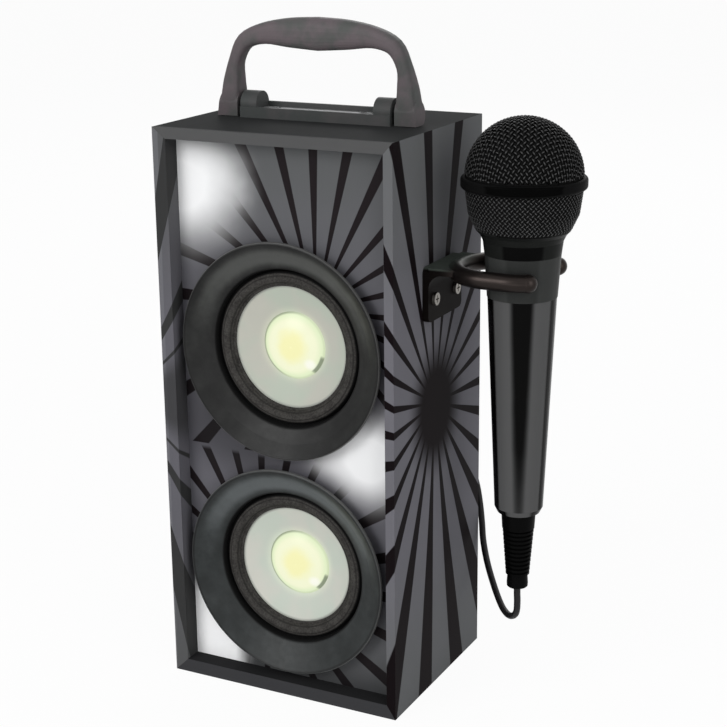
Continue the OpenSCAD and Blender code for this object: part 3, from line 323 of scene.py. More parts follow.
def add_floor():
    reach = FLOOR_REACH
    corners = [(-reach, -reach, 0), (reach, -reach, 0), (reach, reach, 0), (-reach, reach, 0)]
    mesh = bpy.data.meshes.new("floor")
    mesh.from_pydata(corners, [], [(0, 1, 2, 3)])
    floor = bpy.data.objects.new("floor", mesh)
    bpy.context.scene.collection.objects.link(floor)
    material = bpy.data.materials.new("floor")
    tree = emptied_tree(material)
    matt = add_node(tree, "ShaderNodeBsdfDiffuse", {}, {"Color": FLOOR_TINT})
    white = add_node(tree, "ShaderNodeEmission", {}, {"Strength": 1.0})
    share = {0: seen_by_eye(tree), 1: FLOOR_GLOW}
    part = add_node(tree, "ShaderNodeMath", {"operation": "MULTIPLY"}, share)
    inputs = {0: part.outputs[0], 1: matt.outputs[0], 2: white.outputs[0]}
    mix = add_node(tree, "ShaderNodeMixShader", {}, inputs)
    add_node(tree, "ShaderNodeOutputMaterial", {}, {0: mix.outputs[0]})
    mesh.materials.append(material)


def add_light():
    bpy.context.scene.view_settings.view_transform = "Standard"
    add_world()
    for name, place, aim_height, width, height, power in LAMPS:
        add_lamp(name, place, (0, 0, aim_height), width, height, power)


# The cord, whose points are those of the CAD model, in millimetres

CORD_DIAMETER = 3.2
CORD_FRONT = [
    (101.1, 0, 56.9), (101.1, 0, 53), (101.1, 0.4, 48.5), (100.4, 1.6, 43.2), (98.6, 3.2, 39.8),
    (95.6, 5.2, 38), (92.4, 7.8, 38), (89, 11, 39.2), (84.6, 16, 41.8), (79.4, 22.4, 45.6),
    (74.2, 29.2, 49.8), (69.6, 36, 53.8), (65.6, 42.4, 58.4), (62.4, 48.4, 64.2), (59.4, 53, 71.6),
    (56, 56.8, 80), (51.6, 59.6, 88.4), (45.4, 61.4, 95.2), (38, 62.2, 98.3), (30.8, 62.2, 94.8),
    (26.8, 61.6, 86.6), (25.4, 61, 76), (24.8, 60.6, 64), (24.4, 60.3, 51), (24, 60.1, 38),
    (23.2, 60, 26), (21, 60, 15.6), (16.4, 60, 7.4), (10, 60, 3.4), (3, 60.26, 2.5),
]
CORD_BACK = [
    (3, 107.74, 13.6), (9, 107.74, 12.4), (15.4, 107.4, 9.4),
    (21.4, 106, 5.4), (27.4, 103.4, 2.9), (32.2, 99.6, 3.4), (35.2, 95.8, 9), (36.8, 93.6, 18),
    (37.6, 92.4, 30), (38, 91.8, 43), (38, 91.4, 56), (38, 90.8, 68), (38, 89.2, 78),
    (38, 86.2, 86.2), (38, 82.2, 90.8), (38, 79.4, 92), (38, 76.9, 92),
]
COIL_CENTRE = (-4.0, 84.0)
COIL_TURNS = 13.5
COIL_LAYERS = 4
COIL_RADIUS = 17.5
COIL_PITCH = 3.7
COIL_FOOT = 2.5
COIL_STEPS = 32
COIL_START = -90
CORD_SIDES = 12
CORD_STEPS = 4

# Two places on the cord: its fixed end and the end that moves with the microphone
CORD_FIXED_END = (65.5, 42.5, 58.5)
CORD_MOVING_END = (100, 1, 47)


def metres(point):
    return [v * MM for v in point]


def coil_points():
    """The coil, layer on layer: it winds inwards in one layer and outwards in the next."""
    per_layer = COIL_TURNS / COIL_LAYERS
    outer = COIL_RADIUS + per_layer * COIL_PITCH / 2
    inner = COIL_RADIUS - per_layer * COIL_PITCH / 2
    points = []
    for i in range(int(COIL_TURNS * COIL_STEPS) + 1):
        turn = i / COIL_STEPS
        layer = min(int(turn / per_layer), COIL_LAYERS - 1)
        along = turn - layer * per_layer
        reach = outer - COIL_PITCH * along if layer % 2 == 0 else inner + COIL_PITCH * along
        climb = sum(min(max((turn - k * per_layer) / 0.5 + 0.5, 0), 1) for k in range(1, COIL_LAYERS))
        angle = math.radians(COIL_START - 360 * turn)
        x = COIL_CENTRE[0] + reach * math.cos(angle)
        y = COIL_CENTRE[1] + reach * math.sin(angle)
        points.append((x, y, COIL_FOOT + COIL_PITCH * climb))
    return points


def smooth_line(points, steps):
    """A smooth curve through the points, with this many steps between two of them."""
    spots = [Vector(p) for p in points]
    line = []
    for i in range(len(spots) - 1):
        a, b = spots[max(i - 1, 0)], spots[i]
        c, d = spots[i + 1], spots[min(i + 2, len(spots) - 1)]
        bend = 2 * a - 5 * b + 4 * c - d
        twist = 3 * b - a - 3 * c + d
        for s in range(steps):
            t = s / steps
            line.append(0.5 * (2 * b + (c - a) * t + bend * t * t + twist * t**3))
    line.append(spots[-1])
    return line


def sweep(line, radius, sides, turn=0.0):
    """A round tube along a line: its points in metres, and its faces without those of the ends.

    The turn moves each ring of points on by that share of a side.
    """
    spots = [Vector(p) for p in line]
    last = len(spots) - 1
    verts = []
    faces = []
    normal = None
    for i, spot in enumerate(spots):
        run = (spots[min(i + 1, last)] - spots[max(i - 1, 0)]).normalized()
        normal = normal or run.orthogonal()
        normal = (normal - run * normal.dot(run)).normalized()
        side = run.cross(normal)
        for j in range(sides):
            angle = 2 * math.pi * (j + turn) / sides
            verts.append((spot + radius * (math.cos(angle) * normal + math.sin(angle) * side)) * MM)
    for i in range(last):
        for j in range(sides):
            a, b = i * sides + j, i * sides + (j + 1) % sides
            faces.append((a, b, b + sides, a + sides))
    return verts, faces


def add_mesh(name, verts, faces):
    mesh = bpy.data.meshes.new(name)
    mesh.from_pydata([tuple(v) for v in verts], [], faces)
    mesh.update()
    mesh.shade_smooth()
    piece = bpy.data.objects.new(name, mesh)
    bpy.context.scene.collection.objects.link(piece)
    return piece


def add_cord():
    front = smooth_line(CORD_FRONT, CORD_STEPS)
    back = smooth_line(CORD_BACK, CORD_STEPS)
    line = front + [Vector(p) for p in coil_points()] + back
    verts, faces = sweep(line, CORD_DIAMETER / 2, CORD_SIDES, turn=0.5)
    faces.append(tuple(reversed(range(CORD_SIDES))))
    faces.append(tuple(range(len(verts) - CORD_SIDES, len(verts))))
    piece = add_mesh("cord", verts, faces)
    length = sum((b - a).length for a, b in zip(line, line[1:])) * MM
    rubber_jacket().dress(piece)
    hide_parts("cord_front", "cord_coil", "cord_back")
    ends = metres(CORD_FIXED_END), metres(CORD_MOVING_END)
    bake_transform(piece)
    metres(CORD_FRONT[0])
    [metres(p) for p in line]


# The rubber surrounds, in sectors round each speaker between the trim and the cone

ROLL_MIDDLE = 33.5
ROLL_RADIUS = 3.5
ROLL_WALL = 0.9
SURROUND_RADIUS = 39.2
BAFFLE_BACK = -32.0
ROLL_SECTORS = 16
SECTOR_STEPS = 6
ROLL_STEPS = 18
INNER_ROLL_STEPS = 12
STRETCH_START = 36.5
STRETCH_END = 30.7
SHARP_ANGLE = 40


def half_round(radius, start, steps):
    """Points of the roll at this radius, from this angle to the same angle on the other side."""
    angles = [start + (math.pi - 2 * start) * i / steps for i in range(steps + 1)]
    return [(ROLL_MIDDLE + radius * math.cos(a), BAFFLE_BACK - radius * math.sin(a)) for a in angles]


def surround_section():
    """The section of a surround, as radius and depth: its flange, its half roll and its lip."""
    lip = BAFFLE_BACK - ROLL_WALL
    start = math.asin(ROLL_WALL / ROLL_RADIUS)
    section = [(SURROUND_RADIUS, lip)]
    section += half_round(ROLL_RADIUS, start, ROLL_STEPS)
    section += [(DISC_RADIUS, lip), (DISC_RADIUS, BAFFLE_BACK)]
    section += reversed(half_round(ROLL_RADIUS - ROLL_WALL, 0.0, INNER_ROLL_STEPS))
    section.append((SURROUND_RADIUS, BAFFLE_BACK))
    return section


def round_axis(height, sector, reach, depth):
    """A point in metres, at this many sectors round a speaker's axis."""
    angle = 2 * math.pi * sector / ROLL_SECTORS
    return metres((reach * math.cos(angle), depth, height + reach * math.sin(angle)))


def add_surround(name, height):
    """One speaker's surround. The sectors share their edges, so they form one ring."""
    section = surround_section()
    count = len(section)
    finish = pleated_rubber(name + "_rubber", height).dress(name + "_surround")
    for k in range(ROLL_SECTORS):
        verts = []
        for j in range(SECTOR_STEPS + 1):
            verts += [round_axis(height, k + j / SECTOR_STEPS, *point) for point in section]
        faces = [tuple(range(count)), tuple(reversed(range(SECTOR_STEPS * count, len(verts))))]
        for j in range(SECTOR_STEPS):
            for i in range(count):
                a, b = j * count + i, j * count + (i + 1) % count
                faces.append((a, a + count, b + count, b))
        piece = add_mesh(f"{name}_surround_{k + 1:02d}", verts, faces)
        turn_faces_out(piece)
        finish.dress(piece)
        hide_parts(name + "_surround")
        ends = [round_axis(height, k + 0.5, reach, BAFFLE_BACK) for reach in (STRETCH_START, STRETCH_END)]
        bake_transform(piece)


def turn_faces_out(piece):
    shape = bmesh.new()
    shape.from_mesh(piece.data)
    bmesh.ops.recalc_face_normals(shape, faces=shape.faces)
    shape.to_mesh(piece.data)
    shape.free()
    piece.data.set_sharp_from_angle(angle=math.radians(SHARP_ANGLE))


# Shapes that the finishes share


def sunburst(f, u, v, burst, width):
    """Dark rays that widen from a centre: 1 on a ray and 0 between them.

    The width of a ray is a share of the spacing between two.
    """
    (centre_u, centre_v), count, stretch, turn = burst
    angle = f.math("ARCTAN2", (v - centre_v) / stretch, u - centre_u)
    phase = f.math("FRACT", angle * (count / (2 * math.pi)) + (0.5 - turn * count / 360.0 + 2.0))
    off = abs(phase - 0.5)
    return 1.0 - f.smooth(off, width / 2 - RAY_EDGE, width / 2 + RAY_EDGE)


def core(f, u, v, centre):
    """The dark heart of a sunburst, with a soft edge."""
    reach = f.length(u - centre[0], (v - centre[1]) / CORE_STRETCH)
    return 1.0 - f.smooth(reach, CORE_RADIUS - CORE_EDGE, CORE_RADIUS + CORE_EDGE)


def glow(f, u, v, centre, reach_u, reach_v, start):
    """A soft patch: 1 at its middle, out to this part of its reach."""
    reach = f.length((u - centre[0]) / reach_u, (v - centre[1]) / reach_v)
    return 1.0 - f.smooth(reach, start, 1.0)


def band(f, value, low, high, soft=0.4):
    """1 between two values, with soft edges."""
    return f.smooth(value, low - soft, low + soft) * (1.0 - f.smooth(value, high - soft, high + soft))


def speaker_reach(f, height):
    """How far a point is from the axis of the speaker at this height."""
    x, _, z = f.place()
    return f.length(x, z - height)


# The print. Each burst has its centre, its number of rays, its stretch upwards and its turn in degrees.

UPPER_BURST = ((16.3, 190.3), 24, 1.13, 90.0)
LOWER_BURST = ((-14.6, 56.0), 24, 1.13, 90.0)
RIGHT_BURST = ((-4.9, 142.9), 23, 1.06, 90.1)
LEFT_BURST = ((-4.6, 141.0), 22, 1.066, 171.8)
RIGHT_CORE = (-3.4, 140.2)
LEFT_CORE = (-4.6, 141.0)
CORE_RADIUS = 23.5
CORE_EDGE = 9.0
CORE_STRETCH = 1.15
RIGHT_LEAN = 0.056
RAY_EDGE = 0.012
FRONT_RAY = 0.27

# The rays of a side board: two heights, and their width at each
RIGHT_RAYS = (50.0, 150.0, 0.40, 0.27)
LEFT_RAYS = (50.0, 150.0, 0.36, 0.26)

# Where the lower burst ends on the front, and how far below that its rays fade in
BURST_SPLIT = 117.6
SPLIT_FADE = (0.6, 3.2)

# Each cloud on the front has its strength, its centre, its reach both ways and the start of its fading
CLOUDS = (
    (1.0, (-54.0, 242.0), 52.0, 46.0, 0.1),
    (0.5, (-32.0, 247.0), 28.0, 22.0, 0.0),
    (1.0, (43.0, 122.0), 36.0, 36.0, 0.15),
    (0.6, (22.0, 118.0), 24.0, 15.0, 0.0),
    (1.0, (-52.0, 12.0), 33.0, 46.0, 0.5),
)
CLOUD_DRIFT = 8.0
CLOUD_WHITE = (30.0, 110.0)
# Painted shade on the front: a dark patch between the speakers, as centre, reach both ways and start of
# fading, then the heights over which painted shade at the foot fades out
PAINTED_SHADE_PATCH = ((-26.0, 128.0), 50.0, 32.0, 0.3)
FOOT_PAINTED_SHADE = (2.0, 30.0)

# Tones of the print at half height, at top and bottom, in its clouding and of its rays
FRONT_PRINT = ("#5d5c61", "#535554", "#66646c", "#1a1517")
SIDE_PRINT = ("#69686d", "#5f6160", "#716f77", "#130e10")
LEFT_PRINT = ("#5c5b60", "#505150", "#626067", "#353535")
PRINT_ENDS = (40.0, 130.0)

# How far a point may lie behind a board's face, or off its inner wall, and still count as on it
FACE_SLACK = 0.06
WALL_SLACK = 0.04
BEVEL = 2.2

# Where rays cross the left board's front strip, as heights from the heart, and where the heart ends
LEFT_BANDS = ((88.5, 128.0), (38.0, 46.5), (22.0, 24.2), (-27.3, -25.3), (-48.6, -40.5), (-129.0, -84.0))
LEFT_HEART = (10.0, 26.0)

# How the fan of rays spreads over the strip and along the inner wall: two places, a value at each
LEFT_FAN_STRIP = (HALF_WIDTH - BOARD, HALF_WIDTH, 1.0, 0.75)
LEFT_FAN_WALL = (-46.0, BAFFLE_FACE, 0.0, 0.2)

# The pale line on the strip's outer edge, which widens upwards
LEFT_EDGE = (HALF_WIDTH - 0.6, HALF_WIDTH - 0.2)
LEFT_EDGE_LEAN = 0.0074


def print_ground(f, z, tones):
    """The grey of the print, a little purple in the middle and greener at top and bottom."""
    along = f.smooth(abs(z - HEIGHT / 2), *PRINT_ENDS)
    tone = f.mix(colour(tones[0]), colour(tones[1]), along)
    return f.mix(tone, colour(tones[2]), f.noise(30.0) * 0.35)


def paper_grain(f):
    f.bump(f.noise(0.8), 0.01)


def printed_baffle():
    """Two sunbursts that meet between the speakers, over soft white clouds, with painted shade left of
    middle between the speakers and along the foot.
    """
    f = Finish("printed_baffle", rough=0.45, spec=0.06)
    x, _, z = f.place()
    upper = sunburst(f, x, z, UPPER_BURST, FRONT_RAY)
    lower = sunburst(f, x, z, LOWER_BURST, FRONT_RAY)
    split = z > BURST_SPLIT
    rays = upper * split + lower * (1.0 - split) * f.smooth(BURST_SPLIT - z, *SPLIT_FADE)
    drifting = x + CLOUD_DRIFT * (f.noise(16.0) - 0.5)
    clear = 1.0
    for strength, centre, reach_u, reach_v, start in CLOUDS:
        clear = clear * (1.0 - strength * glow(f, drifting, z, centre, reach_u, reach_v, start))
    white = 1.0 - clear
    faded = f.smooth(white, 0.3, 0.8)
    tone = f.mix(print_ground(f, z, FRONT_PRINT), colour(FRONT_PRINT[3]), rays * (1.0 - faded))
    # Painted shade between the speakers and along the foot
    painted_shade = f.math("MAXIMUM", glow(f, x, z, *PAINTED_SHADE_PATCH), 1.0 - f.smooth(z, *FOOT_PAINTED_SHADE))
    tone = f.mix(tone, colour("#161617"), 0.5 * painted_shade)
    peak = f.mix(colour("#fcfcfc"), colour("#ebebeb"), f.smooth(z, *CLOUD_WHITE))
    f.set("Base Color", f.mix(tone, peak, f.math("MINIMUM", white * white * 1.15, 1.0)))
    paper_grain(f)
    return f


def side_print(f, u, v, burst, lean, heart, width):
    """The sunburst of a side board, round its dark heart."""
    leaning = u + (v - burst[0][1]) * lean
    rays = sunburst(f, leaning, v, burst, width)
    rays = f.math("MAXIMUM", rays, core(f, u, v, heart))
    return f.mix(print_ground(f, v, SIDE_PRINT), colour(SIDE_PRINT[3]), rays)


def printed_right():
    """The wrap on the right board, which runs on over the front strip and the inner wall."""
    f = Finish("printed_right", rough=0.45, spec=0.012)
    x, y, z = f.place()
    strip = x - HALF_WIDTH - HALF_DEPTH
    wall = -(y + HALF_DEPTH) - HALF_DEPTH - BOARD
    face = x > (HALF_WIDTH - FACE_SLACK)
    inner = x < (HALF_WIDTH - BOARD + WALL_SLACK)
    along = y * face + (1.0 - face) * (wall * inner + strip * (1.0 - inner))
    width = f.slope(z, *RIGHT_RAYS)
    f.set("Base Color", side_print(f, along, z, RIGHT_BURST, RIGHT_LEAN, RIGHT_CORE, width))
    paper_grain(f)
    return f


def printed_left():
    """The left board: a sunburst on its face, whose rays fan out over the front strip and the wall."""
    f = Finish("printed_left", rough=0.45, spec=0.03)
    x, y, z = f.place()
    out = -x
    face = out > (HALF_WIDTH - FACE_SLACK)
    spread = f.slope(out, *LEFT_FAN_STRIP) + f.slope(y, *LEFT_FAN_WALL)
    fan = (z - LEFT_CORE[1]) / spread
    dark = 0.8 * (1.0 - f.smooth(abs(fan), *LEFT_HEART))
    for low, high in LEFT_BANDS:
        dark = f.math("MAXIMUM", dark, band(f, fan, low, high))
    edge = f.smooth(out + LEFT_EDGE_LEAN * z, *LEFT_EDGE) * (1.0 - face)
    front = f.mix(print_ground(f, z, LEFT_PRINT), colour("#747478"), edge * 0.4)
    front = f.mix(front, colour(LEFT_PRINT[3]), dark)
    side = side_print(f, y, z, LEFT_BURST, 0.0, LEFT_CORE, f.slope(z, *LEFT_RAYS))
    f.set("Base Color", f.mix(front, side, face))
    paper_grain(f)
    return f


def plain_wrap(name, face_tone, strip_tone_with_painted_highlight):
    """The wrap without print, with a paler tone on the bevel in front: partly the bevel's own tone,
    partly painted highlight where it catches the light.
    """
    f = Finish(name, rough=0.55, spec=0.004)
    _, y, _ = f.place()
    strip = y < -(HALF_DEPTH - BEVEL)
    # The bevel's paler tone is partly painted highlight.
    tone = f.mix(colour(face_tone), colour(strip_tone_with_painted_highlight), strip)
    f.set("Base Color", f.mix(tone, colour("#454546"), f.noise(24.0, 3.0) * 0.2))
    paper_grain(f)
    return f


# The speakers

DISC_TONES = {"upper": ("#aab1a4", "#b0afa5"), "lower": ("#bac1b6", "#c2c1b8")}
# Each speaker's trim: its dark tone, and its pale tone for the painted highlight and the mottling
TRIM_TONES = {"upper": ("#0f0f0f", "#474846"), "lower": ("#1d2020", "#55595a")}
CONE_LIGHT = 0.5
DOME_LIGHT = 0.88

# Heights over a speaker's middle between which a painted highlight comes up on its dish
DISH_HIGHLIGHT_RISE = (-6.0, 44.0)

# Radii between which a speaker's tones change. Among them are painted light: the band of the dish's
# painted highlight, the painted highlight on the trim's lip, the painted shade in the two grooves and the
# painted shade round the dome
DISH_HIGHLIGHT_RADII = (40.5, 47.5)
TRIM_SEAM = (TRIM_RADIUS - 1.6, TRIM_RADIUS - 0.9)
TRIM_LIP_HIGHLIGHT = (TRIM_RADIUS - 0.7, TRIM_RADIUS - 0.3)
MOUTH_GROOVE_SHADE = (MOUTH_RADIUS, MOUTH_RADIUS + 1.3)
RUBBER_GROOVE_SHADE = (35.0, 35.8)
CONE_EDGE = (DISC_RADIUS - 1.6, DISC_RADIUS)
CONE_GLOW = (DOME_RADIUS - 1.0, DOME_RADIUS + 5.0)
DOME_YELLOW = (6.0, 12.5)
DOME_GREEN = (11.5, DOME_RADIUS - 0.8)
DOME_CRESCENT_SHADE = (DOME_RADIUS - 2.0, DOME_RADIUS - 1.3)
DOME_OUTLINE_AND_SHADE = (DOME_RADIUS - 1.4, DOME_RADIUS - 0.3)

# Fine rings in the rubber: each one's radius, and its half width inside and outside its soft edge
RUBBER_LINES = ((34.3, 0.15, 0.45), (31.0, 0.12, 0.4))

# The dome's painted highlight, a bright spot to the right of its middle and below it, and the radii of
# its soft edge
PAINTED_GLARE_PLACE = (9.0, -8.0)
PAINTED_GLARE_RADII = (1.0, 3.8)

# The way from the dome's middle to the dark crescent of painted shade at its edge
CRESCENT_SHADE_WAY = (0.84, -0.54)


def satin_trim(name, height, low_tone, highlight_tone):
    """Satin black with random pale mottling, a painted highlight towards the top of the dish and along
    the outer lip, and painted shade, near black, in the groove round the rubber.
    """
    f = Finish(name, rough=0.38, spec=0.2)
    _, _, z = f.place()
    reach = speaker_reach(f, height)
    worn = f.noise(9.0, 4.0, 0.6)
    # A painted highlight towards the top of the dish, mixed with the random mottling into the pale share
    top = f.smooth(z - height, *DISH_HIGHLIGHT_RISE) * band(f, reach, *DISH_HIGHLIGHT_RADII, 2.4)
    pale = f.smooth(0.75 * top + 0.5 * worn, 0.1, 1.05)
    tone = f.mix(colour(low_tone), colour(highlight_tone), pale)
    tone = f.mix(tone, colour("#080808"), 0.7 * band(f, reach, *TRIM_SEAM, 0.3))
    # Painted highlight: a pale line along the outer lip
    tone = f.mix(tone, colour("#5c5c5b"), 0.7 * f.smooth(reach, *TRIM_LIP_HIGHLIGHT))
    # Painted shade: near black in the groove inside the trim's mouth, which is also rougher
    groove = 1.0 - f.smooth(reach, *MOUTH_GROOVE_SHADE)
    f.set("Base Color", f.mix(tone, colour("#020202"), groove))
    f.set("Roughness", 0.34 + 0.16 * f.noise(2.0) + 0.4 * groove)
    f.bump(f.noise(0.35), 0.014)
    return f


def pleated_rubber(name, height):
    """Rough dark rubber with fine rings, and painted shade, black, in the groove outside the roll."""
    f = Finish(name, rough=0.7, spec=0.12)
    reach = speaker_reach(f, height)
    grain = f.noise(0.9, 4.0, 0.75)
    mottle = f.smooth(grain * 0.7 + f.noise(5.0) * 0.3, 0.3, 0.75)
    tone = f.mix(colour("#211f1e"), colour("#494744"), mottle)
    line = 1.0
    for ring, inner, outer in RUBBER_LINES:
        line = line * f.smooth(abs(reach - ring), inner, outer)
    tone = f.mix(colour("#1c1b1a"), tone, 0.35 + 0.65 * line)
    # Painted shade: black in the groove outside the roll
    groove = f.smooth(reach, *RUBBER_GROOVE_SHADE)
    f.set("Base Color", f.mix(tone, colour("#030303"), groove))
    f.bump(line * 0.6 + grain * 0.8, 0.22)
    return f


def lit_diaphragm(name, height, cool, warm):
    """The pale cone, lit from behind most of all next to its dome."""
    f = Finish(name, rough=0.45, spec=0.15)
    reach = speaker_reach(f, height)
    near = 1.0 - f.smooth(reach, *CONE_GLOW)
    tone = f.mix(colour(cool), colour(warm), f.smooth(f.noise(18.0), 0.35, 0.65))
    f.set("Base Color", f.mix(tone, colour("#94968f"), f.smooth(reach, *CONE_EDGE)))
    f.set("Emission Color", f.mix(colour("#40423e"), colour("#8d9274"), near * near))
    f.set("Emission Strength", CONE_LIGHT)
    f.bump(f.noise(0.6), 0.015)
    return f


def lit_dome(name, height):
    """A lit dome: yellow in the middle, then near white, green towards a dark outline that deepens on the
    upper left as painted shade, with a painted highlight below right of its middle and a dark crescent of
    painted shade at its lower right.
    """
    f = Finish(name, rough=0.3, spec=0.2)
    reach = speaker_reach(f, height)
    x, _, z = f.place()
    up = z - height
    yellow_edge = f.smooth(reach + 4.0 * f.noise(6.0), *DOME_YELLOW)
    tone = f.mix(colour("#f6f3b6"), colour("#f4f7d6"), yellow_edge)
    tone = f.mix(tone, colour("#e0eec6"), f.smooth(reach, *DOME_GREEN))
    # Painted highlight: a bright spot below right of the middle, in the dome's glow colour
    painted_glare = 1.0 - f.smooth(f.length(x - PAINTED_GLARE_PLACE[0], up - PAINTED_GLARE_PLACE[1]), *PAINTED_GLARE_RADII)
    tone = f.mix(tone, colour("#fdfdf6"), painted_glare * 0.8)
    # Painted shade: the dark outline deepens on the upper left, and a dark crescent lies at the lower
    # right, in both the colour and the glow
    left = f.smooth(0.3 * up - x, -6.0, 10.0)
    way = (CRESCENT_SHADE_WAY[0] * x + CRESCENT_SHADE_WAY[1] * up) / f.math("MAXIMUM", reach, 1.0)
    crescent = f.smooth(way, 0.93, 0.975) * f.smooth(reach, *DOME_CRESCENT_SHADE)
    outline_and_painted_shade = f.smooth(reach, *DOME_OUTLINE_AND_SHADE) * (0.2 + 0.5 * left)
    outline_and_painted_shade = f.math("MAXIMUM", outline_and_painted_shade, crescent * 0.8)
    f.set("Base Color", f.mix(colour("#58594a"), colour("#4c5246"), outline_and_painted_shade))
    f.set("Emission Color", f.mix(tone, colour("#4a5444"), outline_and_painted_shade))
    f.set("Emission Strength", DOME_LIGHT)
    return f


# Metals, plastics and the rest

# Places between which a tone changes: out to the handle's legs, for their painted shade; along the
# holder's tongue; at its top, for the painted highlight on the top face
GRIP_LEG_SHADE = (34.0, 46.0)
HOLDER_TONGUE = (68.0, 77.0)
HOLDER_TOP_HIGHLIGHT = (208.8, 209.8)
COPPER_PITCH = 0.35
WOOD_STRETCH = 0.06


def metal(name, base, rough=0.35, streak=0.3):
    """Metal whose gloss varies with a fine grain."""
    f = Finish(name, base, rough=rough, metal=1.0)
    grain = f.noise(0.7, 3.0)
    f.set("Roughness", rough + streak * (grain - 0.5))
    f.bump(grain, 0.01)
    return f


def plastic(name, base, other, rough=0.45, spec=0.4, grain=0.4, depth=0.015):
    """Moulded plastic: two close tones, a fine grain and a sheen that varies a little."""
    f = Finish(name, base, rough=rough, spec=spec)
    f.set("Base Color", f.mix(colour(base), colour(other), f.noise(7.0, 3.0)))
    f.set("Roughness", rough - 0.05 + 0.1 * f.noise(3.0))
    f.bump(f.noise(grain), depth)
    return f


def rubber_jacket():
    """The cord's jacket."""
    f = Finish("cord_jacket", "#1a1a1a", rough=0.45, spec=0.2)
    f.set("Base Color", f.mix(colour("#100f10"), colour("#1f1d1e"), f.noise(3.0, 3.0)))
    f.bump(f.noise(0.5), 0.02)
    return f


def grained_grip(name, cool, warm):
    """Grained plastic of the handle, in blotches of a cool and a warm grey, with painted shade darkening
    its legs.
    """
    f = Finish(name, rough=0.5, spec=0.12)
    x, _, _ = f.place()
    blotch = f.smooth(f.noise(16.0, 3.0, 0.6), 0.38, 0.62)
    tone = f.mix(colour(cool), colour(warm), blotch)
    # Painted shade on the handle's legs
    tone = f.mix(tone, colour("#2c2b2c"), 0.25 * f.smooth(abs(x), *GRIP_LEG_SHADE))
    f.set("Base Color", f.mix(tone, colour("#3a3a3a"), 0.3 * f.noise(1.2, 4.0, 0.7)))
    f.set("Roughness", 0.42 + 0.16 * f.noise(3.0))
    f.bump(f.noise(0.7, 3.0), 0.05)
    return f


def bronze_gloss():
    """The holder: a dark plate, a tongue whose top face is olive, partly painted highlight, and a bronze
    gloss ring.
    """
    f = Finish("holder_gloss", rough=0.3, spec=0.02)
    x, _, z = f.place()
    out = f.smooth(x, *HOLDER_TONGUE)
    # The top face's paler olive is partly painted highlight
    top = f.smooth(z, *HOLDER_TOP_HIGHLIGHT) * (1.0 - out)
    tone = f.mix(colour("#0b0807"), colour("#2f2a28"), out)
    tone = f.mix(tone, colour("#4d544e"), top)
    f.set("Base Color", f.mix(tone, colour("#2a2524"), f.noise(10.0) * 0.3))
    f.set("Metallic", 0.8 * out)
    f.set("Roughness", 0.45 - 0.17 * out + 0.1 * f.noise(5.0, 3.0))
    f.bump(f.noise(1.4), 0.01)
    return f


def black_with_painted_reflections(name, middle, pale, low, high, rough=0.2, spec=0.08):
    """Black with painted reflections: two soft upright stripes of a paler tone painted into its colour,
    between these two values of facing.
    """
    f = Finish(name, rough=rough, spec=spec)
    turn = f.facing() + 0.02 * (f.noise(30.0) - 0.5)
    # Painted reflection: paler upright stripes where the facing lies between the two values
    painted_reflection_bands = f.smooth(turn, low - 0.03, low + 0.03) * (1.0 - f.smooth(turn, high - 0.06, high + 0.04))
    f.set("Base Color", f.mix(colour(middle), colour(pale), painted_reflection_bands))
    f.set("Roughness", rough + 0.08 * f.noise(6.0, 3.0))
    f.bump(f.noise(2.0), 0.004)
    return f


def softwood():
    """Pale wood with upright grain."""
    f = Finish("softwood", rough=0.7)
    x, y, z = f.place()
    grain = f.noise(2.0, 3.0, at=f.vector(x, y, z * WOOD_STRETCH))
    f.set("Base Color", f.mix(colour("#a67c4e"), colour("#c9a373"), grain))
    f.bump(grain, 0.05)
    return f


def lacquered_board():
    """Green lacquer over the tracks of a circuit board."""
    f = Finish("circuit_green", rough=0.35, coat=0.4)
    f.set("Base Color", f.mix(colour("#1d5a38"), colour("#2f7a4c"), f.noise(1.5, 3.0)))
    f.bump(f.noise(1.0, 3.0), 0.05)
    return f


def wound_copper():
    """Copper wire wound close on a coil."""
    f = Finish("copper_wire", "#b8733a", rough=0.35, metal=1.0)
    _, y, _ = f.place()
    f.bump(f.math("SINE", y * (2 * math.pi / COPPER_PITCH)), 0.08)
    f.set("Roughness", 0.3 + 0.1 * f.noise(1.0))
    return f


def clear_lens():
    """The cover of a small white light."""
    f = Finish("lens", "#dfe8f2", rough=0.2, coat=0.5)
    f.set("Emission Color", f.mix(colour("#8fa6c0"), colour("#c8dcf4"), f.noise(1.0)))
    f.set("Emission Strength", 0.4)
    return f


def foam_finish():
    """Black open foam."""
    f = Finish("foam", rough=0.95, spec=0.1)
    cells = f.noise(0.8)
    f.set("Base Color", f.mix(colour("#050505"), colour("#141414"), cells))
    f.bump(cells, 0.3)
    return f


# Woven wire of the microphone's ball

WIRE_PITCH = 2.15
WIRE_RADIUS = 0.4
WIRE_SIDES = 6
WIRE_STEPS = 4
WEAVE_DEPTH = 0.36
CLOTH_LIFT = 0.1
CLOTH_TURN = 66.5
CLOTH_EDGE_GAP = 0.6
SHORTEST_WIRE = 4
LOWER_PITCH = 2.3
LOWER_WIRE_RADIUS = 0.34
LOWER_WEAVE_DEPTH = 0.288
SWAY = 0.12
SWAY_BY_WIRE = 2.3
SWAY_BY_HEIGHT = 0.9


def ball_point(u, v, lift):
    """A point of the flat wire cloth, pressed over the upper half of the ball."""
    arc = math.hypot(u, v)
    polar = arc / BALL_RADIUS
    turn = math.atan2(v, u) + math.radians(CLOTH_TURN)
    reach = BALL_RADIUS + CLOTH_LIFT + lift
    out = reach * math.sin(polar)
    height = BALL_CENTRE_Z + reach * math.cos(polar)
    return (MIC_X + out * math.cos(turn), out * math.sin(turn), height)


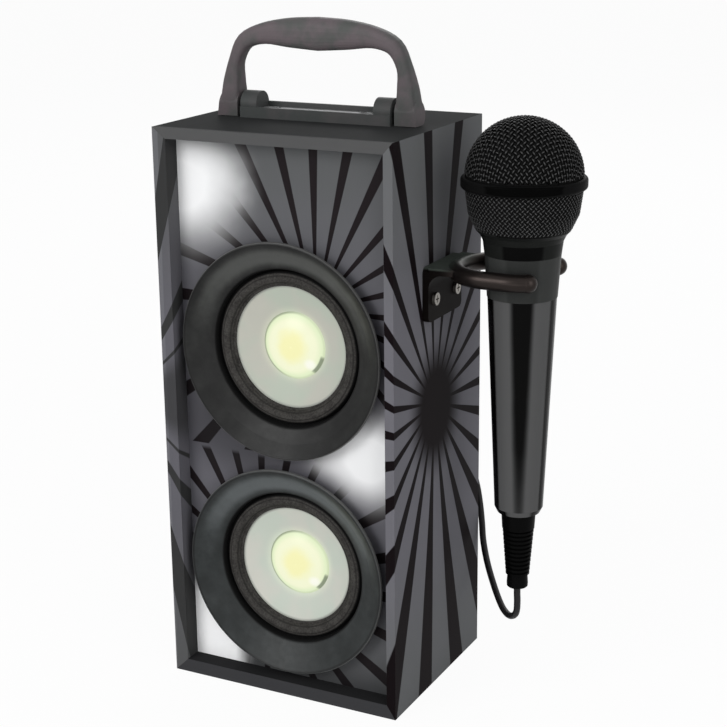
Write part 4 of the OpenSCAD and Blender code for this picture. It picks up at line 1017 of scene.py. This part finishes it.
def cup_profile():
    """The lower half from its foot up to the band, as heights and radii, in three straight stretches."""
    rise = BAND_FOOT_Z - BALL_FOOT_Z
    swell = BALL_RADIUS - BALL_FOOT_RADIUS
    return (
        (BALL_FOOT_Z, BALL_FOOT_RADIUS),
        (BALL_FOOT_Z + 0.38 * rise, BALL_FOOT_RADIUS + 0.68 * swell),
        (BALL_FOOT_Z + 0.7 * rise, BALL_RADIUS - 0.7),
        (BAND_FOOT_Z, BALL_RADIUS),
    )


def cup_radius(height):
    """The radius of the lower half at a height."""
    profile = cup_profile()
    for (low, start), (high, end) in zip(profile, profile[1:]):
        if height <= high:
            break
    return start + (end - start) * (height - low) / (high - low)


def cup_point(u, v, lift):
    """A point of the cloth on the lower half, which draws in towards the neck."""
    height = BAND_FOOT_Z - v
    reach = cup_radius(height) + CLOTH_LIFT + lift
    turn = u / BALL_RADIUS
    return (MIC_X + reach * math.cos(turn), reach * math.sin(turn), height)


def wire_cloth(name, strands, radius):
    """Joins many thin tubes into one piece. Each strand is a list of points in millimetres."""
    verts = []
    faces = []
    for line in strands:
        start = len(verts)
        wire_verts, wire_faces = sweep(line, radius, WIRE_SIDES)
        verts += wire_verts
        faces += [tuple(start + i for i in face) for face in wire_faces]
    return add_mesh(name, verts, faces)


def upper_strands():
    """Wires both ways of a flat plain weave, over one and under the next."""
    edge = BALL_RADIUS * math.pi / 2 - CLOTH_EDGE_GAP
    step = WIRE_PITCH / WIRE_STEPS
    rows = int(edge // WIRE_PITCH)
    lines = []
    for k in range(-rows, rows + 1):
        fixed = k * WIRE_PITCH
        count = int(math.sqrt(edge * edge - fixed * fixed) / step)
        if count < SHORTEST_WIRE:
            continue
        for across in (0, 1):
            line = []
            for i in range(-count, count + 1):
                run = i * step
                lift = WEAVE_DEPTH * math.cos(math.pi * (run / WIRE_PITCH + k + across))
                line.append(ball_point(fixed, run, lift) if across else ball_point(run, fixed, lift))
            lines.append(line)
    return lines


def lower_strands():
    """Wires that wind both ways round the lower half, over one and under the next."""
    drop = BAND_FOOT_Z - BALL_FOOT_Z
    around = 2 * math.pi * BALL_RADIUS
    count = 2 * round(around / LOWER_PITCH / 2)
    pitch = around / count
    steps = int(drop / pitch * WIRE_STEPS)
    lines = []
    for way in (1, -1):
        for k in range(count):
            line = []
            for i in range(steps + 1):
                v = i * drop / steps
                sway = SWAY * math.sin(SWAY_BY_WIRE * k + SWAY_BY_HEIGHT * v)
                lift = LOWER_WEAVE_DEPTH * math.cos(math.pi * (2 * v / pitch + 0.5 * (1 - way)))
                line.append(cup_point((k + way * v / pitch) * pitch + sway, v, lift))
            lines.append(line)
    return lines


def wire_black_painted_highlights(name, crown, low, high):
    """Black wire with a painted highlight on the weave's crowns, which stand between these two heights
    over the cloth, and painted shade, near black, in the hollows below them.
    """
    f = Finish(name, rough=0.32, spec=0.08)
    # Painted highlight on the crowns and painted shade in the hollows of the weave
    tone = f.mix(colour("#030303"), colour("#5a5a5a"), f.smooth(crown(f), low, high))
    f.set("Base Color", f.mix(tone, colour("#0c0c0c"), f.noise(5.0, 3.0) * 0.6))
    f.bump(f.noise(0.4), 0.01)
    return f


def dome_crown(f):
    """How far a point stands out from the upper half of the ball."""
    x, y, z = f.place()
    return f.length(x - MIC_X, y, z - BALL_CENTRE_Z) - BALL_RADIUS


def cup_crown(f):
    """How far a point stands out from the lower half."""
    x, y, z = f.place()
    profile = cup_profile()
    shell = BALL_FOOT_RADIUS
    for (low, start), (high, end) in zip(profile, profile[1:]):
        shell = shell + f.slope(z, low, high, 0.0, end - start)
    return f.length(x - MIC_X, y) - shell


def add_grille():
    upper = wire_cloth("mic_mesh_upper", upper_strands(), WIRE_RADIUS)
    lower = wire_cloth("mic_mesh_lower", lower_strands(), LOWER_WIRE_RADIUS)
    wire_black_painted_highlights("upper_wire", dome_crown, 0.5, 0.9).dress(upper)
    wire_black_painted_highlights("lower_wire", cup_crown, 0.34, 0.7).dress(lower)
    for piece in (upper, lower):
        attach(piece, "microphone")


# Dressing the CAD nodes


def dress_cabinet():
    printed_baffle().dress("front_baffle")
    printed_right().dress("right_panel")
    printed_left().dress("left_panel")
    # The second tone of each wrap, for its front bevel, is partly painted highlight.
    plain_wrap("wrap_top", "#2f3030", "#555555").dress("top_panel")
    plain_wrap("wrap_bottom", "#262627", "#38383a").dress("bottom_panel")
    plastic("back_wrap", "#2a2a2b", "#323233", rough=0.6, grain=0.8, depth=0.04).dress("back_panel")
    softwood().dress("back_battens")
    metal("screw_dark", "#55565a").dress("back_panel_screws", "speaker_screws", "control_panel_screws")


def dress_speakers():
    steel = metal("basket_steel", "#8f9194")
    dark = metal("magnet_plating", "#3d3d40", 0.5)
    copper = wound_copper()
    lens = clear_lens()
    for name, height in SPEAKER_Z.items():
        satin_trim(name + "_satin_trim", height, *TRIM_TONES[name]).dress(name + "_trim")
        add_surround(name, height)
        lit_diaphragm(name + "_pale_cone", height, *DISC_TONES[name]).dress(name + "_cone")
        lit_dome(name + "_lit_dome", height).dress(name + "_dome")
        copper.dress(name + "_voice_coil")
        steel.dress(name + "_basket")
        dark.dress(name + "_magnet")
        lens.dress(name + "_light_board")


def dress_handle():
    grained_grip("handle_plastic", "#525452", "#655c5f").dress("handle")
    grained_grip("hinge_plastic", "#414443", "#4a4949").dress("handle_base")
    metal("strip_metal", "#8a8b8c", 0.45, 0.2).dress("handle_plate")
    metal("pin_steel", "#8a8b8e").dress("handle_pins")
    plastic("screw_black", "#161616", "#202020", rough=0.35).dress("handle_screws")


def dress_microphone():
    bronze_gloss().dress("mic_holder")
    metal("screw_bright", "#86827d", 0.38, 0.2).dress("mic_holder_screws")
    foam_finish().dress("mic_grille_upper", "mic_grille_lower", "mic_foam")
    # Each black part of the microphone: its dark tone and the paler tone of its painted reflections
    black_with_painted_reflections("band_plastic", "#040404", "#101010", 0.22, 1.2, 0.4, 0.012).dress("mic_band")
    black_with_painted_reflections("neck_plastic", "#050505", "#1a1b1a", 0.2, 0.8, 0.35, 0.03).dress("mic_neck")
    black_with_painted_reflections("collar_plastic", "#2d2e2d", "#363736", 0.14, 0.6, 0.35, 0.04).dress("mic_collar")
    black_with_painted_reflections("mic_gloss", "#040404", "#505050", 0.1, 0.47, 0.15, 0.05).dress("mic_body")
    metal("capsule_metal", "#909296").dress("mic_capsule")
    jacket = plastic("relief_rubber", "#040404", "#080808", rough=0.42, spec=0.03)
    jacket.dress("mic_strain_relief", "mic_plug")
    plastic("tie_plastic", "#1c1c1c", "#262626", rough=0.55, spec=0.2).dress("cord_tie")


def dress_panel():
    panel = plastic("panel_plastic", "#1e1e20", "#262628", rough=0.5, grain=0.5, depth=0.03)
    panel.dress("control_panel")
    caps = plastic("button_plastic", "#343436", "#3e3e40", rough=0.42)
    caps.dress("mode_button", "previous_button", "play_button", "next_button", "power_switch")
    plastic("jack_plastic", "#2c2c2e", "#38383a", rough=0.35).dress("mic_jack", "aux_jack")
    metal("socket_steel", "#9a9ba0", 0.3).dress("usb_socket", "charging_port")
    clear_lens().dress("status_light")
    lacquered_board().dress("circuit_board")
    plastic("cell_wrap", "#264f96", "#2f5fa8", rough=0.3).dress("battery_pack")


add_camera()
add_light()
add_floor()
add_cord()
dress_cabinet()
dress_speakers()
dress_handle()
dress_microphone()
dress_panel()
add_grille()
